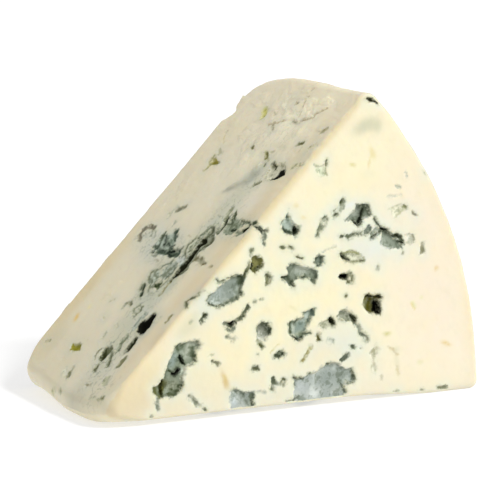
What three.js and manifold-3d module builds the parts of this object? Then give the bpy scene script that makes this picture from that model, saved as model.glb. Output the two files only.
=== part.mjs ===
// A wedge of blue cheese: one eighth of half a wheel.
// The wheel was halved level with its flat faces, and the half was then cut from its axis to its rim.
// The wedge stands on one of those two radial cuts. The other one slopes up from the tip, the halving
// cut is the upright front, the wheel's flat face is the back, and the wheel's rim is the curved end.
// It is one solid. Its outside is one rounded field, and its pores, veins and cracks are cut into it.
// Units are millimetres and +Z is up. +X runs from the tip to the rim, and +Y from the front to the back.

import * as THREE from 'three';
import { mergeVertices } from 'three/addons/utils/BufferGeometryUtils.js';
import Module from 'manifold-3d';

// ---- The wheel and the cut ----
const WHEEL_RADIUS = 100.5;
const WEDGE_ANGLE = THREE.MathUtils.degToRad(45.2);
const THICKNESS = 50.1; // half of the wheel's height
const TIP_TAPER = 0.5; // how much thinner the wedge gets towards its tip
const TIP_TAPER_REACH = 30;
const TIP_PINCH = 2.6; // how much thinner still the very tip is
const UNEVENNESS = 0.06; // how far the cuts and skins sway from true

// ---- Rounding of the edges ----
const TIP_ROUNDING = 3.3;
const LOWER_RIM_ROUNDING = 2; // where the resting cut meets the rim
const UPPER_RIM_ROUNDING = 2.8; // where the slope meets the rim
const RIM_ROUNDING_HEIGHTS = [20, 40]; // the one turns into the other between these heights
const FRONT_ROUNDING = 0.8;
const FRONT_TIP_ROUNDING = 4; // added to it at the tip
const BACK_ROUNDING = 3.2;
const BACK_TIP_ROUNDING = 4.5; // added to it at the tip
const BACK_TO_RIM = [70, 95]; // its rounding turns into the rim's between these distances from the axis
const TIP_NEAR = 4; // what is added at the tip fades between these distances from the wheel's axis
const TIP_FAR = 16;
const RIM_SHOULDER_RADIAL = 9; // the wheel's own rounded shoulder, from rim to flat face
const RIM_SHOULDER_AXIAL = 20;

// ---- The foot: the resting cut is a little hollow along the front, and the toe is lifted ----
const FOOT_LIFT = 1.3;
const FOOT_LIFT_DEPTH = 12;
const FOOT_LIFT_FADES = [66, 92];
const TOE_LIFT = 1.5;
const TOE_LIFT_FADES = [8, 27];
const TOE_LIFT_DEPTHS = [18, 40];

// ---- Where the frame's origin lies, from the sharp tip's lower front corner ----
const MIDDLE_X = 52.65;
const MIDDLE_Y = 25.05;

// ---- How finely the outside is divided ----
const COLUMNS = 75;
const CAP_STEPS = [0, 0.16, 0.33, 0.49, 0.63, 0.76, 0.87, 0.945, 1];
const SIDE_STEPS = [1.8, 5, 9, 13.5, 18, 22.5, 27, 31, 35, 38.5, 41.5, 44, 46, 47.4];
const CORNER_CROWDING = 0.55; // 0 spaces the columns evenly, and 1 crowds them into the corners
const CORNER_NUDGE = 1e-9; // keeps a column that lies on the tip from rounding down to the last one
const SEARCH_STEPS = 40; // halvings that find where a line leaves the cheese
const FLAT_WITHIN = 0.005; // a point this near the floor lies on it
const MERGE_WITHIN = 1e-4; // points this near each other are one
const PIT_DETAIL = 2;
const SMALL_PIT = 4.5; // pits no longer than this have one step less of detail

// ---- Pores, veins and cracks that are cut into the faces ----
// On the front, along is measured from the tip and across from the base.
// On the slope, along is measured up the slope from the tip and across from the front.
// length and width are of the mouth before it is made uneven, turn is in degrees from along
// towards across, and sunk is the share of the depth by which the widest part lies under the face.
const FRONT_PITS = [
  { along: 72.4, across: 22.1, length: 4.8, width: 4.6, depth: 5.5, turn: 20, sunk: 0.35 }, // deepest pore
  { along: 65.4, across: 29.1, length: 2.8, width: 1.8, depth: 3.5, turn: 5, sunk: 0.4 },
  { along: 66.8, across: 33.0, length: 6.2, width: 2.4, depth: 2.2, turn: -14, sunk: 0.2 },
  { along: 42.6, across: 33.8, length: 4.2, width: 3.4, depth: 3.2, turn: 30, sunk: 0.2 },
  { along: 35.4, across: 28.0, length: 10.6, width: 5.0, depth: 1.5, turn: 33, sunk: 0 },
  { along: 55.0, across: 30.8, length: 8.6, width: 3.8, depth: 1.3, turn: -16, sunk: 0 },
  { along: 51.6, across: 28.6, length: 3.0, width: 2.2, depth: 1.1, turn: -30, sunk: 0 },
  { along: 58.5, across: 33.6, length: 2.8, width: 3.0, depth: 1.2, turn: 60, sunk: 0 },
  { along: 51.4, across: 41.6, length: 5.2, width: 3.2, depth: 1.8, turn: -55, sunk: 0 },
  { along: 68.8, across: 42.8, length: 5.8, width: 4.2, depth: 2.6, turn: -20, sunk: 0.1 },
  { along: 63.6, across: 43.6, length: 3.2, width: 2.0, depth: 1.2, turn: 55, sunk: 0 },
  { along: 74.4, across: 38.6, length: 7.6, width: 2.2, depth: 1.8, turn: -40, sunk: 0.1 },
  { along: 77.4, across: 36.2, length: 6.0, width: 3.4, depth: 1.3, turn: -24, sunk: 0 },
  { along: 54.6, across: 18.6, length: 6.6, width: 3.6, depth: 1.7, turn: 52, sunk: 0 },
  { along: 66.4, across: 19.6, length: 4.6, width: 3.0, depth: 1.3, turn: -32, sunk: 0 },
  { along: 61.5, across: 19.2, length: 2.4, width: 2.2, depth: 2.2, turn: 40, sunk: 0.2 },
  { along: 44.2, across: 18.8, length: 3.6, width: 3.8, depth: 1.6, turn: 0, sunk: 0 },
  { along: 36.4, across: 21.0, length: 3.4, width: 2.0, depth: 2.2, turn: 20, sunk: 0.2 },
  { along: 39.6, across: 23.2, length: 3.4, width: 1.6, depth: 1.2, turn: 55, sunk: 0 },
  { along: 25.6, across: 14.8, length: 7.0, width: 4.4, depth: 1.7, turn: 58, sunk: 0 },
  { along: 20.8, across: 9.0, length: 8.4, width: 4.2, depth: 1.9, turn: 38, sunk: 0 },
  { along: 59.6, across: 5.6, length: 14.6, width: 5.4, depth: 1.2, turn: 12, sunk: 0 },
  { along: 39.2, across: 4.2, length: 5.4, width: 4.0, depth: 1.2, turn: -10, sunk: 0 },
  { along: 29.6, across: 23.0, length: 1.7, width: 2.0, depth: 1.4, turn: 0, sunk: 0 },
  { along: 48.4, across: 12.7, length: 2.2, width: 1.6, depth: 1.2, turn: 0, sunk: 0 },
];
const SLOPE_PITS = [
  { along: 28.6, across: 9.9, length: 5.6, width: 2.8, depth: 3.8, turn: 6, sunk: 0.3 },
  { along: 22.9, across: 9.3, length: 4.2, width: 1.5, depth: 2.2, turn: 8, sunk: 0.2 },
  { along: 46.0, across: 13.4, length: 10.5, width: 2.4, depth: 2.4, turn: -3, sunk: 0.1 },
  { along: 54.4, across: 13.2, length: 7.6, width: 2.2, depth: 2.0, turn: -12, sunk: 0.1 },
  { along: 47.8, across: 29.0, length: 9.0, width: 3.4, depth: 1.2, turn: 90, sunk: 0 },
  { along: 47.5, across: 21.6, length: 6.0, width: 2.0, depth: 1.3, turn: 90, sunk: 0 },
  { along: 50.4, across: 41.2, length: 4.2, width: 1.8, depth: 0.9, turn: -20, sunk: 0 },
  { along: 38.4, across: 22.4, length: 6.4, width: 2.0, depth: 1.1, turn: 12, sunk: 0 },
  { along: 39.0, across: 18.0, length: 3.2, width: 1.8, depth: 1.2, turn: 0, sunk: 0 },
  { along: 18.6, across: 16.6, length: 5.0, width: 2.2, depth: 1.6, turn: 18, sunk: 0 },
  { along: 58.2, across: 7.8, length: 7.0, width: 3.2, depth: 1.2, turn: 80, sunk: 0 },
  { along: 74.2, across: 7.6, length: 4.2, width: 4.4, depth: 3.0, turn: 0, sunk: 0.2 },
  { along: 71.0, across: 17.4, length: 9.6, width: 6.0, depth: 1.0, turn: -28, sunk: 0 },
  { along: 17.5, across: 30.2, length: 4.8, width: 1.9, depth: 1.8, turn: 80, sunk: 0 },
  { along: 72.1, across: 36.9, length: 3.6, width: 2.8, depth: 1.6, turn: 70, sunk: 0 },
  { along: 58.4, across: 34.6, length: 2.6, width: 2.4, depth: 0.9, turn: 0, sunk: 0 },
  { along: 86.4, across: 49.6, length: 6.0, width: 7.6, depth: 6.0, turn: 0, sunk: 0 }, // nick in the back edge
];

const wasm = await Module();
wasm.setup();

// 0 below low, 1 above high, and smooth between them.
function fade(value, low, high) {
  return THREE.MathUtils.smoothstep(value, low, high);
}

// The larger of two distances, with the edge between them rounded off over reachA and reachB.
function roundedMax(a, b, reachA, reachB = reachA) {
  const insideA = a / reachA + 1;
  const insideB = b / reachB + 1;
  if (insideA <= 0 || insideB <= 0) return Math.max(a, b);
  return (Math.hypot(insideA, insideB) - 1) * Math.min(reachA, reachB);
}

// The larger of the distances from two planes whose outward normals have this cosine between them,
// with the edge between them rounded to a true arc.
function roundedCorner(a, b, radius, cosine) {
  const fromA = a + radius;
  const fromB = b + radius;
  if (fromA <= fromB * cosine || fromB <= fromA * cosine) return Math.max(a, b);
  const square = fromA * fromA + fromB * fromB - 2 * fromA * fromB * cosine;
  return Math.sqrt(square / (1 - cosine * cosine)) - radius;
}

// The slow unevenness of a cut or a skin.
function sway(a, b, phase) {
  const long = Math.sin(0.093 * a + 0.061 * b + phase) * Math.sin(0.081 * b - 0.052 * a + 1.7 * phase);
  const short = Math.sin(0.27 * a - 0.21 * b + 2.3 * phase) * Math.sin(0.24 * b + 0.15 * a + phase);
  return UNEVENNESS * (0.7 * long + 0.3 * short);
}

// Below 0 inside the cheese, above 0 outside it, and about the distance from its surface near it.
// The point is measured from the sharp tip's lower front corner.
function wedgeField(x, y, z) {
  const reach = Math.hypot(x, z);
  const up = x * Math.cos(WEDGE_ANGLE) + z * Math.sin(WEDGE_ANGLE);
  const nearTip = 1 - fade(reach, TIP_NEAR, TIP_FAR);

  const frontLift = FOOT_LIFT * (1 - fade(y, 0, FOOT_LIFT_DEPTH)) * (1 - fade(x, ...FOOT_LIFT_FADES));
  const toeLift = TOE_LIFT * (1 - fade(reach, ...TOE_LIFT_FADES)) * fade(y, ...TOE_LIFT_DEPTHS);
  const foot = frontLift + toeLift - z;
  const slope = z * Math.cos(WEDGE_ANGLE) - x * Math.sin(WEDGE_ANGLE) + sway(up, y, 0.6);
  const rim = reach - WHEEL_RADIUS + sway(WHEEL_RADIUS * Math.atan2(z, x), y, 2.1);
  const front = -y + sway(x, z, 4.4);
  const taper = TIP_TAPER * (1 - fade(reach, 0, TIP_TAPER_REACH)) + TIP_PINCH * nearTip;
  const back = y - THICKNESS + taper + sway(x, z, 3.2);

  const cuts = roundedCorner(foot, slope, TIP_ROUNDING, -Math.cos(WEDGE_ANGLE));
  const skin = roundedMax(rim, back, RIM_SHOULDER_RADIAL, RIM_SHOULDER_AXIAL);
  const rimRounding = THREE.MathUtils.lerp(
    LOWER_RIM_ROUNDING,
    UPPER_RIM_ROUNDING,
    fade(z, ...RIM_ROUNDING_HEIGHTS),
  );
  const backRounding = BACK_ROUNDING + BACK_TIP_ROUNDING * nearTip;
  const skinRounding = THREE.MathUtils.lerp(backRounding, rimRounding, fade(reach, ...BACK_TO_RIM));
  const sides = roundedMax(cuts, skin, skinRounding);
  return roundedMax(sides, front, FRONT_ROUNDING + FRONT_TIP_ROUNDING * nearTip);
}

// A point of the sharp sector's outline. Share 0 is the tip, and it runs along the base, up the rim
// and back down the slope. The columns crowd towards the three corners.
function outlinePoint(share) {
  const side = Math.min(2, Math.floor(share * 3));
  const even = share * 3 - side;
  const crowded = (1 - Math.cos(Math.PI * even)) / 2;
  const along = THREE.MathUtils.lerp(even, crowded, CORNER_CROWDING);
  if (side === 0) return new THREE.Vector2(along * WHEEL_RADIUS, 0);
  if (side === 1) {
    return new THREE.Vector2(WHEEL_RADIUS, 0).rotateAround(new THREE.Vector2(), along * WEDGE_ANGLE);
  }
  const upperCorner = new THREE.Vector2(WHEEL_RADIUS, 0).rotateAround(new THREE.Vector2(), WEDGE_ANGLE);
  return upperCorner.multiplyScalar(1 - along);
}

// The closed outside of the wedge. A round coin gives the grid: its angle runs round the sector's
// outline, its radius shrinks that outline towards the middle, and its height is the depth. Each
// point of that sharp wedge is then drawn in towards the middle until it lies on the field's surface.
function wedgeGeometry() {
  const front = CAP_STEPS.map((scale) => new THREE.Vector2(scale, 0));
  const side = SIDE_STEPS.map((depth) => new THREE.Vector2(1, depth));
  const back = CAP_STEPS.map((scale) => new THREE.Vector2(scale, THICKNESS)).reverse();
  const coin = new THREE.LatheGeometry([...front, ...side, ...back].reverse(), COLUMNS);
  const centroid = (4 * WHEEL_RADIUS * Math.sin(WEDGE_ANGLE / 2)) / (3 * WEDGE_ANGLE);
  const middle = new THREE.Vector3(
    centroid * Math.cos(WEDGE_ANGLE / 2),
    THICKNESS / 2,
    centroid * Math.sin(WEDGE_ANGLE / 2),
  );
  const position = coin.getAttribute('position');
  for (let i = 0; i < position.count; i++) {
    const angle = Math.atan2(position.getX(i), position.getZ(i));
    const share = THREE.MathUtils.euclideanModulo(angle / (2 * Math.PI) + CORNER_NUDGE, 1);
    const scale = Math.hypot(position.getX(i), position.getZ(i));
    const outline = outlinePoint(share);
    const sharp = new THREE.Vector3(outline.x, position.getY(i), outline.y);
    sharp.x = THREE.MathUtils.lerp(middle.x, sharp.x, scale);
    sharp.z = THREE.MathUtils.lerp(middle.z, sharp.z, scale);
    const placed = onSurface(middle, sharp);
    position.setXYZ(i, placed.x, placed.y, placed.z);
  }
  return coin;
}

// The point where the line from an inner point through an outer one leaves the cheese.
function onSurface(inner, outer) {
  const beyond = 1.05;
  let inside = 0;
  let outside = beyond;
  const point = new THREE.Vector3();
  for (let step = 0; step < SEARCH_STEPS; step++) {
    const share = (inside + outside) / 2;
    point.lerpVectors(inner, outer, share);
    if (wedgeField(point.x, point.y, point.z) < 0) inside = share;
    else outside = share;
  }
  if (Math.abs(point.z) < FLAT_WITHIN) point.z = 0;
  return point;
}

// A lumpy ellipsoid that cuts one pit, placed on its face.
function pitGeometry(pit, face, index) {
  const blob = new THREE.IcosahedronGeometry(1, pit.length > SMALL_PIT ? PIT_DETAIL : PIT_DETAIL - 1);
  const position = blob.getAttribute('position');
  const point = new THREE.Vector3();
  for (let i = 0; i < position.count; i++) {
    point.fromBufferAttribute(position, i);
    const lump = Math.sin(4.1 * point.x + index) * Math.sin(3.7 * point.y + 2 * index);
    const nub = Math.sin(7.3 * point.y - 5.9 * point.z + 3 * index);
    point.multiplyScalar(1 + 0.16 * lump + 0.08 * nub);
    position.setXYZ(i, point.x, point.y, point.z);
  }
  blob.scale(pit.length / 2, pit.width / 2, pit.depth / (1 + pit.sunk));
  blob.rotateZ(THREE.MathUtils.degToRad(pit.turn));
  blob.translate(0, 0, -(pit.depth * pit.sunk) / (1 + pit.sunk));
  blob.applyMatrix4(face(pit.along, pit.across));
  return blob;
}

// Each face's own frame at a place on it: X runs along, Y across, and Z points out of the cheese.
function frontFace(along, across) {
  const basis = new THREE.Matrix4().makeBasis(
    new THREE.Vector3(1, 0, 0),
    new THREE.Vector3(0, 0, 1),
    new THREE.Vector3(0, -1, 0),
  );
  return basis.setPosition(along, 0, across);
}

function slopeFace(along, across) {
  const up = new THREE.Vector3(Math.cos(WEDGE_ANGLE), 0, Math.sin(WEDGE_ANGLE));
  const out = new THREE.Vector3(-Math.sin(WEDGE_ANGLE), 0, Math.cos(WEDGE_ANGLE));
  const basis = new THREE.Matrix4().makeBasis(up, new THREE.Vector3(0, 1, 0), out);
  return basis.setPosition(along * up.x, across, along * up.z);
}

// A three.js geometry as a solid that can be cut.
function solidOf(geometry) {
  const bare = geometry.clone();
  bare.deleteAttribute('normal');
  bare.deleteAttribute('uv');
  const merged = mergeVertices(bare, MERGE_WITHIN);
  const corners = merged.index.array;
  const kept = [];
  for (let i = 0; i < corners.length; i += 3) {
    const [a, b, c] = corners.slice(i, i + 3);
    if (a !== b && b !== c && a !== c) kept.push(a, b, c);
  }
  const vertProperties = new Float32Array(merged.getAttribute('position').array);
  return new wasm.Manifold(new wasm.Mesh({ numProp: 3, vertProperties, triVerts: new Uint32Array(kept) }));
}

// A solid as a three.js geometry.
function geometryOf(solid) {
  const mesh = solid.getMesh();
  const geometry = new THREE.BufferGeometry();
  geometry.setAttribute('position', new THREE.BufferAttribute(mesh.vertProperties, 3));
  geometry.setIndex(new THREE.BufferAttribute(mesh.triVerts, 1));
  geometry.computeVertexNormals();
  return geometry;
}

function cheeseWedge() {
  let cheese = solidOf(wedgeGeometry());
  FRONT_PITS.forEach((pit, index) => {
    cheese = cheese.subtract(solidOf(pitGeometry(pit, frontFace, index)));
  });
  SLOPE_PITS.forEach((pit, index) => {
    cheese = cheese.subtract(solidOf(pitGeometry(pit, slopeFace, index + FRONT_PITS.length)));
  });
  const paste = new THREE.MeshStandardMaterial({ color: 0xf6ecc8, roughness: 0.55, metalness: 0 });
  const mesh = new THREE.Mesh(geometryOf(cheese), paste);
  mesh.name = 'cheese_wedge';
  mesh.position.set(-MIDDLE_X, -MIDDLE_Y, 0);
  return mesh;
}

const wedge = new THREE.Group();
wedge.add(cheeseWedge());

export default wedge;
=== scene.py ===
"""A wedge of blue cheese in Blender: one closed piece that replaces the CAD solid and keeps its form.

The cheese is a rounded wedge given by a distance field. Each of its faces has a sheet, a flat map in
millimetres on which mould, veins, cracks and pores are stamped from their outlines, with painted shade in
pores and cracks and painted light and shade on flakes and in the mould. The sheets sink the marks into the
field, and give the mesh the colours that its material mixes.
Sizes in this file are millimetres from the sharp tip's lower front corner: +X runs along the base to the
rim, +Y from the front to the back and +Z up. The mesh itself is in metres in the CAD frame.
"""

import math

import bmesh
import bpy
import numpy as np
import openvdb
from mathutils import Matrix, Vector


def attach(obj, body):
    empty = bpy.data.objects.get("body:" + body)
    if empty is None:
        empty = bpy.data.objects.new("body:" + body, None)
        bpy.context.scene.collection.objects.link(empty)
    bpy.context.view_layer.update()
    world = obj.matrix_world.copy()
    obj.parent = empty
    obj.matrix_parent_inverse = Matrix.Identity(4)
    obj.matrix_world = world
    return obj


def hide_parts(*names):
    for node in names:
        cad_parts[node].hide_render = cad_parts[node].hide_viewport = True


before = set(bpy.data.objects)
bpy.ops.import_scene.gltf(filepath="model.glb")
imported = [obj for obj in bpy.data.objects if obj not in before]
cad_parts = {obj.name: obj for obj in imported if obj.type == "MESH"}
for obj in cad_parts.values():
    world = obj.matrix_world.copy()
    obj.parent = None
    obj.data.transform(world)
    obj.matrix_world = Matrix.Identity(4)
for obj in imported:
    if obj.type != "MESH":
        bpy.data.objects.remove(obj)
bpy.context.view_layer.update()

MM = 0.001

# ---- The wheel and the cut, the same named sizes as the solid's ----
WHEEL_RADIUS = 100.5
WEDGE_ANGLE = math.radians(45.2)
THICKNESS = 50.1
TIP_TAPER, TIP_TAPER_REACH, TIP_PINCH = 0.5, 30, 2.6
UNEVENNESS = 0.06
TIP_ROUNDING = 3.3
LOWER_RIM_ROUNDING, UPPER_RIM_ROUNDING = 2, 2.8
RIM_ROUNDING_HEIGHTS = (20, 40)
FRONT_ROUNDING, FRONT_TIP_ROUNDING = 0.8, 4
BACK_ROUNDING, BACK_TIP_ROUNDING = 3.2, 4.5
BACK_TO_RIM = (70, 95)
TIP_NEAR, TIP_FAR = 4, 16
RIM_SHOULDER_RADIAL, RIM_SHOULDER_AXIAL = 9, 20
FOOT_LIFT, FOOT_LIFT_DEPTH, FOOT_LIFT_FADES = 1.3, 12, (66, 92)
TOE_LIFT, TOE_LIFT_FADES, TOE_LIFT_DEPTHS = 1.5, (8, 27), (18, 40)
MIDDLE = np.array([52.65, 25.05, 0.0])
COS, SIN = math.cos(WEDGE_ANGLE), math.sin(WEDGE_ANGLE)

NICK = (86.4, 49.6, 4.2, 3.6, 4.6)  # in the back edge: up the slope, across, and its half sizes
NICK_DEPTH = 3.2
NICK_LUMPS, NICK_LUMP_SIZE = 0.5, 1.9
NICK_NEAR = 9  # the nick's lumps are worked out this near to it only

# ---- How finely the mesh and the sheets are divided ----
GRID_STEP = 0.25
GRID_LOW, GRID_SIZE = -1.5, (104.5, 54, 75)
SHEET_STEP, SHEET_MARGIN = 0.12, 2.0
SHEET_SIZE = {
    "front": (102, 74),
    "slope": (102, 52),
    "foot": (102, 52),
    "rim": (82, 52),
    "back": (102, 74),
}
MOST_TRIANGLES = 190000
THIN_LEVELS = 20
REACH = 3.0  # how far around a mark its distance is known
DEEPEST_MARK = 8.0  # nothing on a sheet reaches further in
FACE_BLEND = 0.6  # how gently one face's colours pass into the next one's
BEND, CURL, GRIT = (0.20, 0.9), (0.10, 0.4), (0.07, 0.22)  # of outlines: how far, over what length

# ---- Fine relief: the height and the size of its lumps, in millimetres ----
FRONT_LUMPS, FRONT_CRUMB = (0.050, 2.6), (0.030, 0.8)
SLOPE_DRAG, SLOPE_CRUMB, SLOPE_SWELL = 0.03, 0.025, 0.15
SLOPE_TEARS, SLOPE_LEDGES = 0.22, 0.22
FOOT_LUMPS = (0.05, 1.2)
SKIN_LUMPS, SKIN_CRUMB, SKIN_SWELL = (0.10, 3), (0.05, 0.9), (0.25, 12)

# ---- The flat islands of the bake map, in millimetres, in the order front, slope, foot, rim, back ----
BAKE_CORNERS = np.array([[0, 0], [0, 80], [0, 138], [108, 138], [108, 0]])
BAKE_MARGIN, BAKE_SPAN = 3, 216

# ---- Light. The colours below are given as they look in the light that falls on their face ----
FRONT_LIGHT = 1.23
SLOPE_LIGHT = 0.836
SKY_LIGHT = 0.64
KEY_LIGHT = 0.65
KEY_TOWARD = (0.40, -0.60, 0.69)
KEY_SPREAD = 14  # degrees

# ---- Floor and camera ----
FLOOR_HALF = 4.0
FLOOR_GREY, FLOOR_GLOW = 0.52, 0.52
CAMERA_PLACE, CAMERA_AIM = (-0.32380, -0.61582, 0.15255), (-0.00154, -0.005955, 0.03337)
CAMERA_LENS, CAMERA_SENSOR = 221.89, 36

# ---- Colours of the hidden faces' mould and veins ----
BLUE_GREY, PALE_BLUE = (162, 172, 158), (188, 198, 186)
GREY_GREEN, GREY_OLIVE = (134, 142, 118), (152, 154, 120)
SLATE, INK = (108, 118, 98), (42, 52, 36)

# ---- How the material changes the colours, as shares of red, green and blue ----
PASTE_CREAM, PASTE_GREY = (255, 242, 200), (228, 220, 190)  # these two from 0 to 255
# The first colour here is a painted highlight, added in pale lumps over the mould.
MOULD_PAINTED_HIGHLIGHT, INK_BLOOM = (0.12, 0.125, 0.115), (0.05, 0.06, 0.045)  # added
MOULD_SHADE, MOULD_GRAIN, MOULD_EDGE = (0.46, 0.50, 0.42), (0.5, 0.54, 0.46), (0.28, 0.32, 0.22)
MURK_SHADE, SQUIGGLE_SHADE, PORE_SHADE = (0.78, 0.83, 0.80), (0.24, 0.28, 0.22), (0.60, 0.65, 0.53)
GLOW_REACH, GLOW_SCALE = (1.0, 0.72, 0.38), 0.0017  # how far light spreads in the paste

# ---- How the hidden faces' mould is scattered ----
MARKS_A_CLUSTER, CLUSTERED = 9, 0.72
ROW_LENGTH, ROW_WIDTH = 8.5, 3.2
MARK_CORNERS = 9
SMALLEST_MARK, MARK_GROWTH = 0.4, 3.8
RIMWARD, RIMWARD_SIZE = 70, 0.7  # marks past this place are smaller

# ---- Marks, laid out on a flat map of each face, in millimetres ----
# On the front a place is (from the tip along the base, up from the base), and on the slope (up the slope
# from the tip, in from the front edge). Colours are red,green,blue from 0 to 255.
# Mould and ink: width, colour and depth, and then the points. Width 0 closes the outline and fills it.
FRONT_MOULD = """
# the long dark patch near the tip
0 136,147,126 0.8  23.4,17.8 22.4,16.6 21.4,14.8 20.6,12.8 20,11.2 19.8,9.9 18.6,9.2 17.3,8.6 17.1,7.4 \
  18,6.5 19.9,6.1 21.2,5.9 22.6,6.4 23.9,7.1 24.6,8.3 24.4,9.8 25.2,11.9 26.6,12.5 27.8,13.4 27.3,14.9 \
  28.2,15.9 29.2,17 28,18 26.2,18.2 24.8,17.7
0.9 164,170,152 0.3  18.2,5.9 18.3,3.6
# the big patch by the ridge
0 150,161,150 0.7  30.4,26.6 31,27.7 33.3,29.4 35,30.6 36.4,31.4 38.2,31.9 39.9,31.4 39.3,29.7 38.9,28 \
  38.2,26.5 36.6,26 35,25.3 33.3,25.1 31.8,25.4 30.8,25.8
0 140,138,82 0.9  41.2,32.4 41.9,33.6 41.4,34.8 41.8,35.9 43,35.6 44,35 44.5,34 44,33 43,32.8 42.4,31.9
0.9 170,172,142 0.4  39.6,31.3 40.2,32.8 40.6,33.2
0.9 184,186,160 0.3  41.2,36 41.2,37.1
0.9 172,178,162 0.3  41.8,42.6 43.6,41.6 44.7,40.2 44.4,38.2
1 128,136,114 0.7  34.8,21.3 36.2,20.8 37.4,21.3
0.7 158,166,148 0.4  35.5,19.7 36.4,19.3 37,19.8
0.9 166,170,148 0.3  35.2,18.1 36,17.7 37,17.5
0.9 140,146,120 0.6  38,21.6 39.2,22.7 40,23.5 40.6,24.4
0 142,146,130 0.9  42.8,19.3 43.3,20.3 44.6,20.6 45.9,20 46.5,18.8 46,17.3 44.9,16.6 43.6,16.5 42.8,17.4
0.9 140,144,106 0.4  43.1,16.6 43.6,15.8 44,15
1.4 132,140,118 0.6  47.6,12.7 49.3,13
1.2 132,136,108 0.5  41.9,10.4 42.8,10.3
0.9 158,158,132 0.4  31.6,12.8 33,12.5
0.7 208,208,174 0.3  31.2,14.5 31.8,14.5
1.1 112,120,96 0.6  29.2,22.2 30,23.4
0 172,180,172 0.5  36.1,5.9 37.4,6.4 38.6,5.6 40,5.3 42.4,5.1 42,3.8 41.6,1.2 36.2,1.2 36,3.4
1 178,182,164 0.4  26,5.7 27,4.7 27.6,4 28.4,3.4
1 150,156,136 0.5  46.8,7.6 46.9,6.4 46.5,5
0.6 160,166,146 0.3  47.1,6.3 48,6.4
0.7 158,158,128 0.4  48.7,6.4 49.3,7.3 50,6.8 49.4,6
# the arrow
0 164,178,164 0.8  50.8,17.2 50.9,20 51.6,20.4 52.4,20 53.6,20.6 54.7,20.7 54.4,21.7 56,22.3 57.3,22.7 \
  57.2,21 56.2,19.8 55.7,18.7 54.9,17.4 56.2,17 54.4,16.2 53.4,15.5 52.2,16.5 51.5,16.6
0 186,186,158 0.6  58.3,18.4 59.3,19.4 60.8,19.8 62.2,19.6 62.6,17.8 61,17.9 59.6,17.6
1 152,148,106 0.5  58.3,16.7 58.5,15.2
0 170,174,154 0.8  63.2,20.2 64,21.5 65.2,21.6 66.8,20.9 68,19.6 68.3,18.2 67.9,17.6 66.4,18.7 64.8,19
1.1 184,188,170 0.4  68.4,17.8 69,16.6 69.6,15.4
1.1 160,166,148 0.4  69.8,15.2 70.8,14.6
0.9 132,140,122 0.6  64.2,10 65.3,10.5 66.1,11.3
0.9 132,140,118 0.4  67,13 67.6,12.5
1.1 200,204,186 0.2  61.3,14.9 62,14.7
0.8 186,190,172 0.2  69.1,12.3 69.3,12.3
# the deepest pore
0 146,143,70 1.6  69.8,23.3 70.6,24.2 71.3,24.6 72.4,24.1 74,24.2 74.8,23.5 74.1,22.9 73.9,21.5 74,19.8 \
  72.8,19.7 71.6,20.1 70.4,21 69.9,22.2
0.9 206,200,150 0.4  54.6,11 55.4,12.4 56.6,13.7
# the large patch at the base
0 172,181,174 0.6  51.9,7.4 52.2,5.2 51.8,3 52.6,1.2 57,1.2 61,1.2 64.8,1.4 65.5,2.6 64.8,3.9 65.8,4.6 \
  67.4,4.4 67.9,5.4 67.5,6.6 67,7.9 65.4,8.1 64.2,8.6 63.4,9.7 61.6,9.9 60.4,9.5 59.2,8.7 57.6,8.2 56,7.6 \
  54.3,7.1 53.2,6.8
# above the middle
0 188,202,188 1  50.6,45.2 50.9,43.6 52.2,42.2 53.5,41.6 53.3,40 52.3,39 51.5,40 50,40.3 49.2,41.2 \
  48.9,42.7 50,43.2 50.2,44.2
1 204,208,186 0.4  58.1,39.4 58.7,40.8 59.1,41.8 60,42.5
0 128,138,120 0.9  65.1,41.9 66.1,43.1 67.5,43.8 67.9,45.4 69.4,45.2 71,45.2 71.2,43.8 71.8,42.6 \
  70.5,41.8 69.3,41.2 68.7,40.3 67.9,41.2 66.7,41.4
1.4 210,213,192 0.4  62.3,43.2 63.4,44.2 64.3,45.2 64.6,46.4
1.5 134,144,130 0.5  70.4,38.8 71.3,39.5
0.9 150,156,134 0.4  65.6,38.2 67.4,38.6 69.4,38.6
1.2 170,178,160 0.6  72.2,38.2 73.2,39.2 74.2,38.8
0 152,162,144 0.9  74.6,38.9 75.8,38.8 77.6,37.4 79.6,36 79.9,34.6 78.4,34.5 75.9,34.6 74.3,35.9 \
  74.6,37.2
1.2 136,144,122 0.6  78.2,37.4 79.4,36.9 80,35.6
0 226,226,206 0.3  81.2,37.3 82.8,37.1 83,35.7 81.4,35.4
1.3 178,176,148 0.3  85.1,33 85.2,34.6
0 234,232,204 0.3  77,43.8 79,44.3 80.6,44 79.6,42.6 78,41.6
# the slit under it and the pore below that
0 250,249,222 0.8  63.7,33.6 64.6,34.5 66.7,34.6 68.9,33.8 70,32.3 68.7,31.8 66.7,32.2 65.3,33
1.5 110,112,72 1.4  64.2,29.1 65.8,29.1
0.9 170,172,140 0.4  66,29.7 67,28.9 67,27.9 65.9,27.6
# the big patch left of the middle
0 142,152,134 0.8  50.2,32.3 51.3,33.2 53.2,32.9 55,32.1 57,31.8 58.2,30.7 58,29.3 57.5,28.3 56.3,29.2 \
  54.6,29.9 53.2,29.7 52.2,29 52.1,27.8 51,28.1 49.8,29.3 48.8,30.3 50.8,30.9
0 122,135,120 0.8  57.3,33.8 58.4,34.8 59.7,34.1 59.6,32.4 58,32 57.3,32.7
0 148,150,116 0.7  45,31.8 46.7,30.7 46.3,29.2 45.1,28.8 44.8,30.2
0 220,226,194 0.3  57.2,54.4 59.8,54.7 60.1,52.4 58.6,52.4 57.9,53.4
0 214,211,184 0.3  71.4,10.9 72.6,12 73.4,12.6 74.4,11.6 73.4,10.2 72.3,9.4
0.9 196,196,168 0.3  72.7,8 72.9,6.8
1 184,184,158 0.3  89.8,1 92,1
0.8 180,182,156 0.3  78.2,1.1 79.2,1.2
0.8 204,204,180 0.3  85,0.9 85.8,0.9
0 104,104,70 0.8  70.2,69 71.7,69 73.7,67.7 71.7,68
"""
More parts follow.
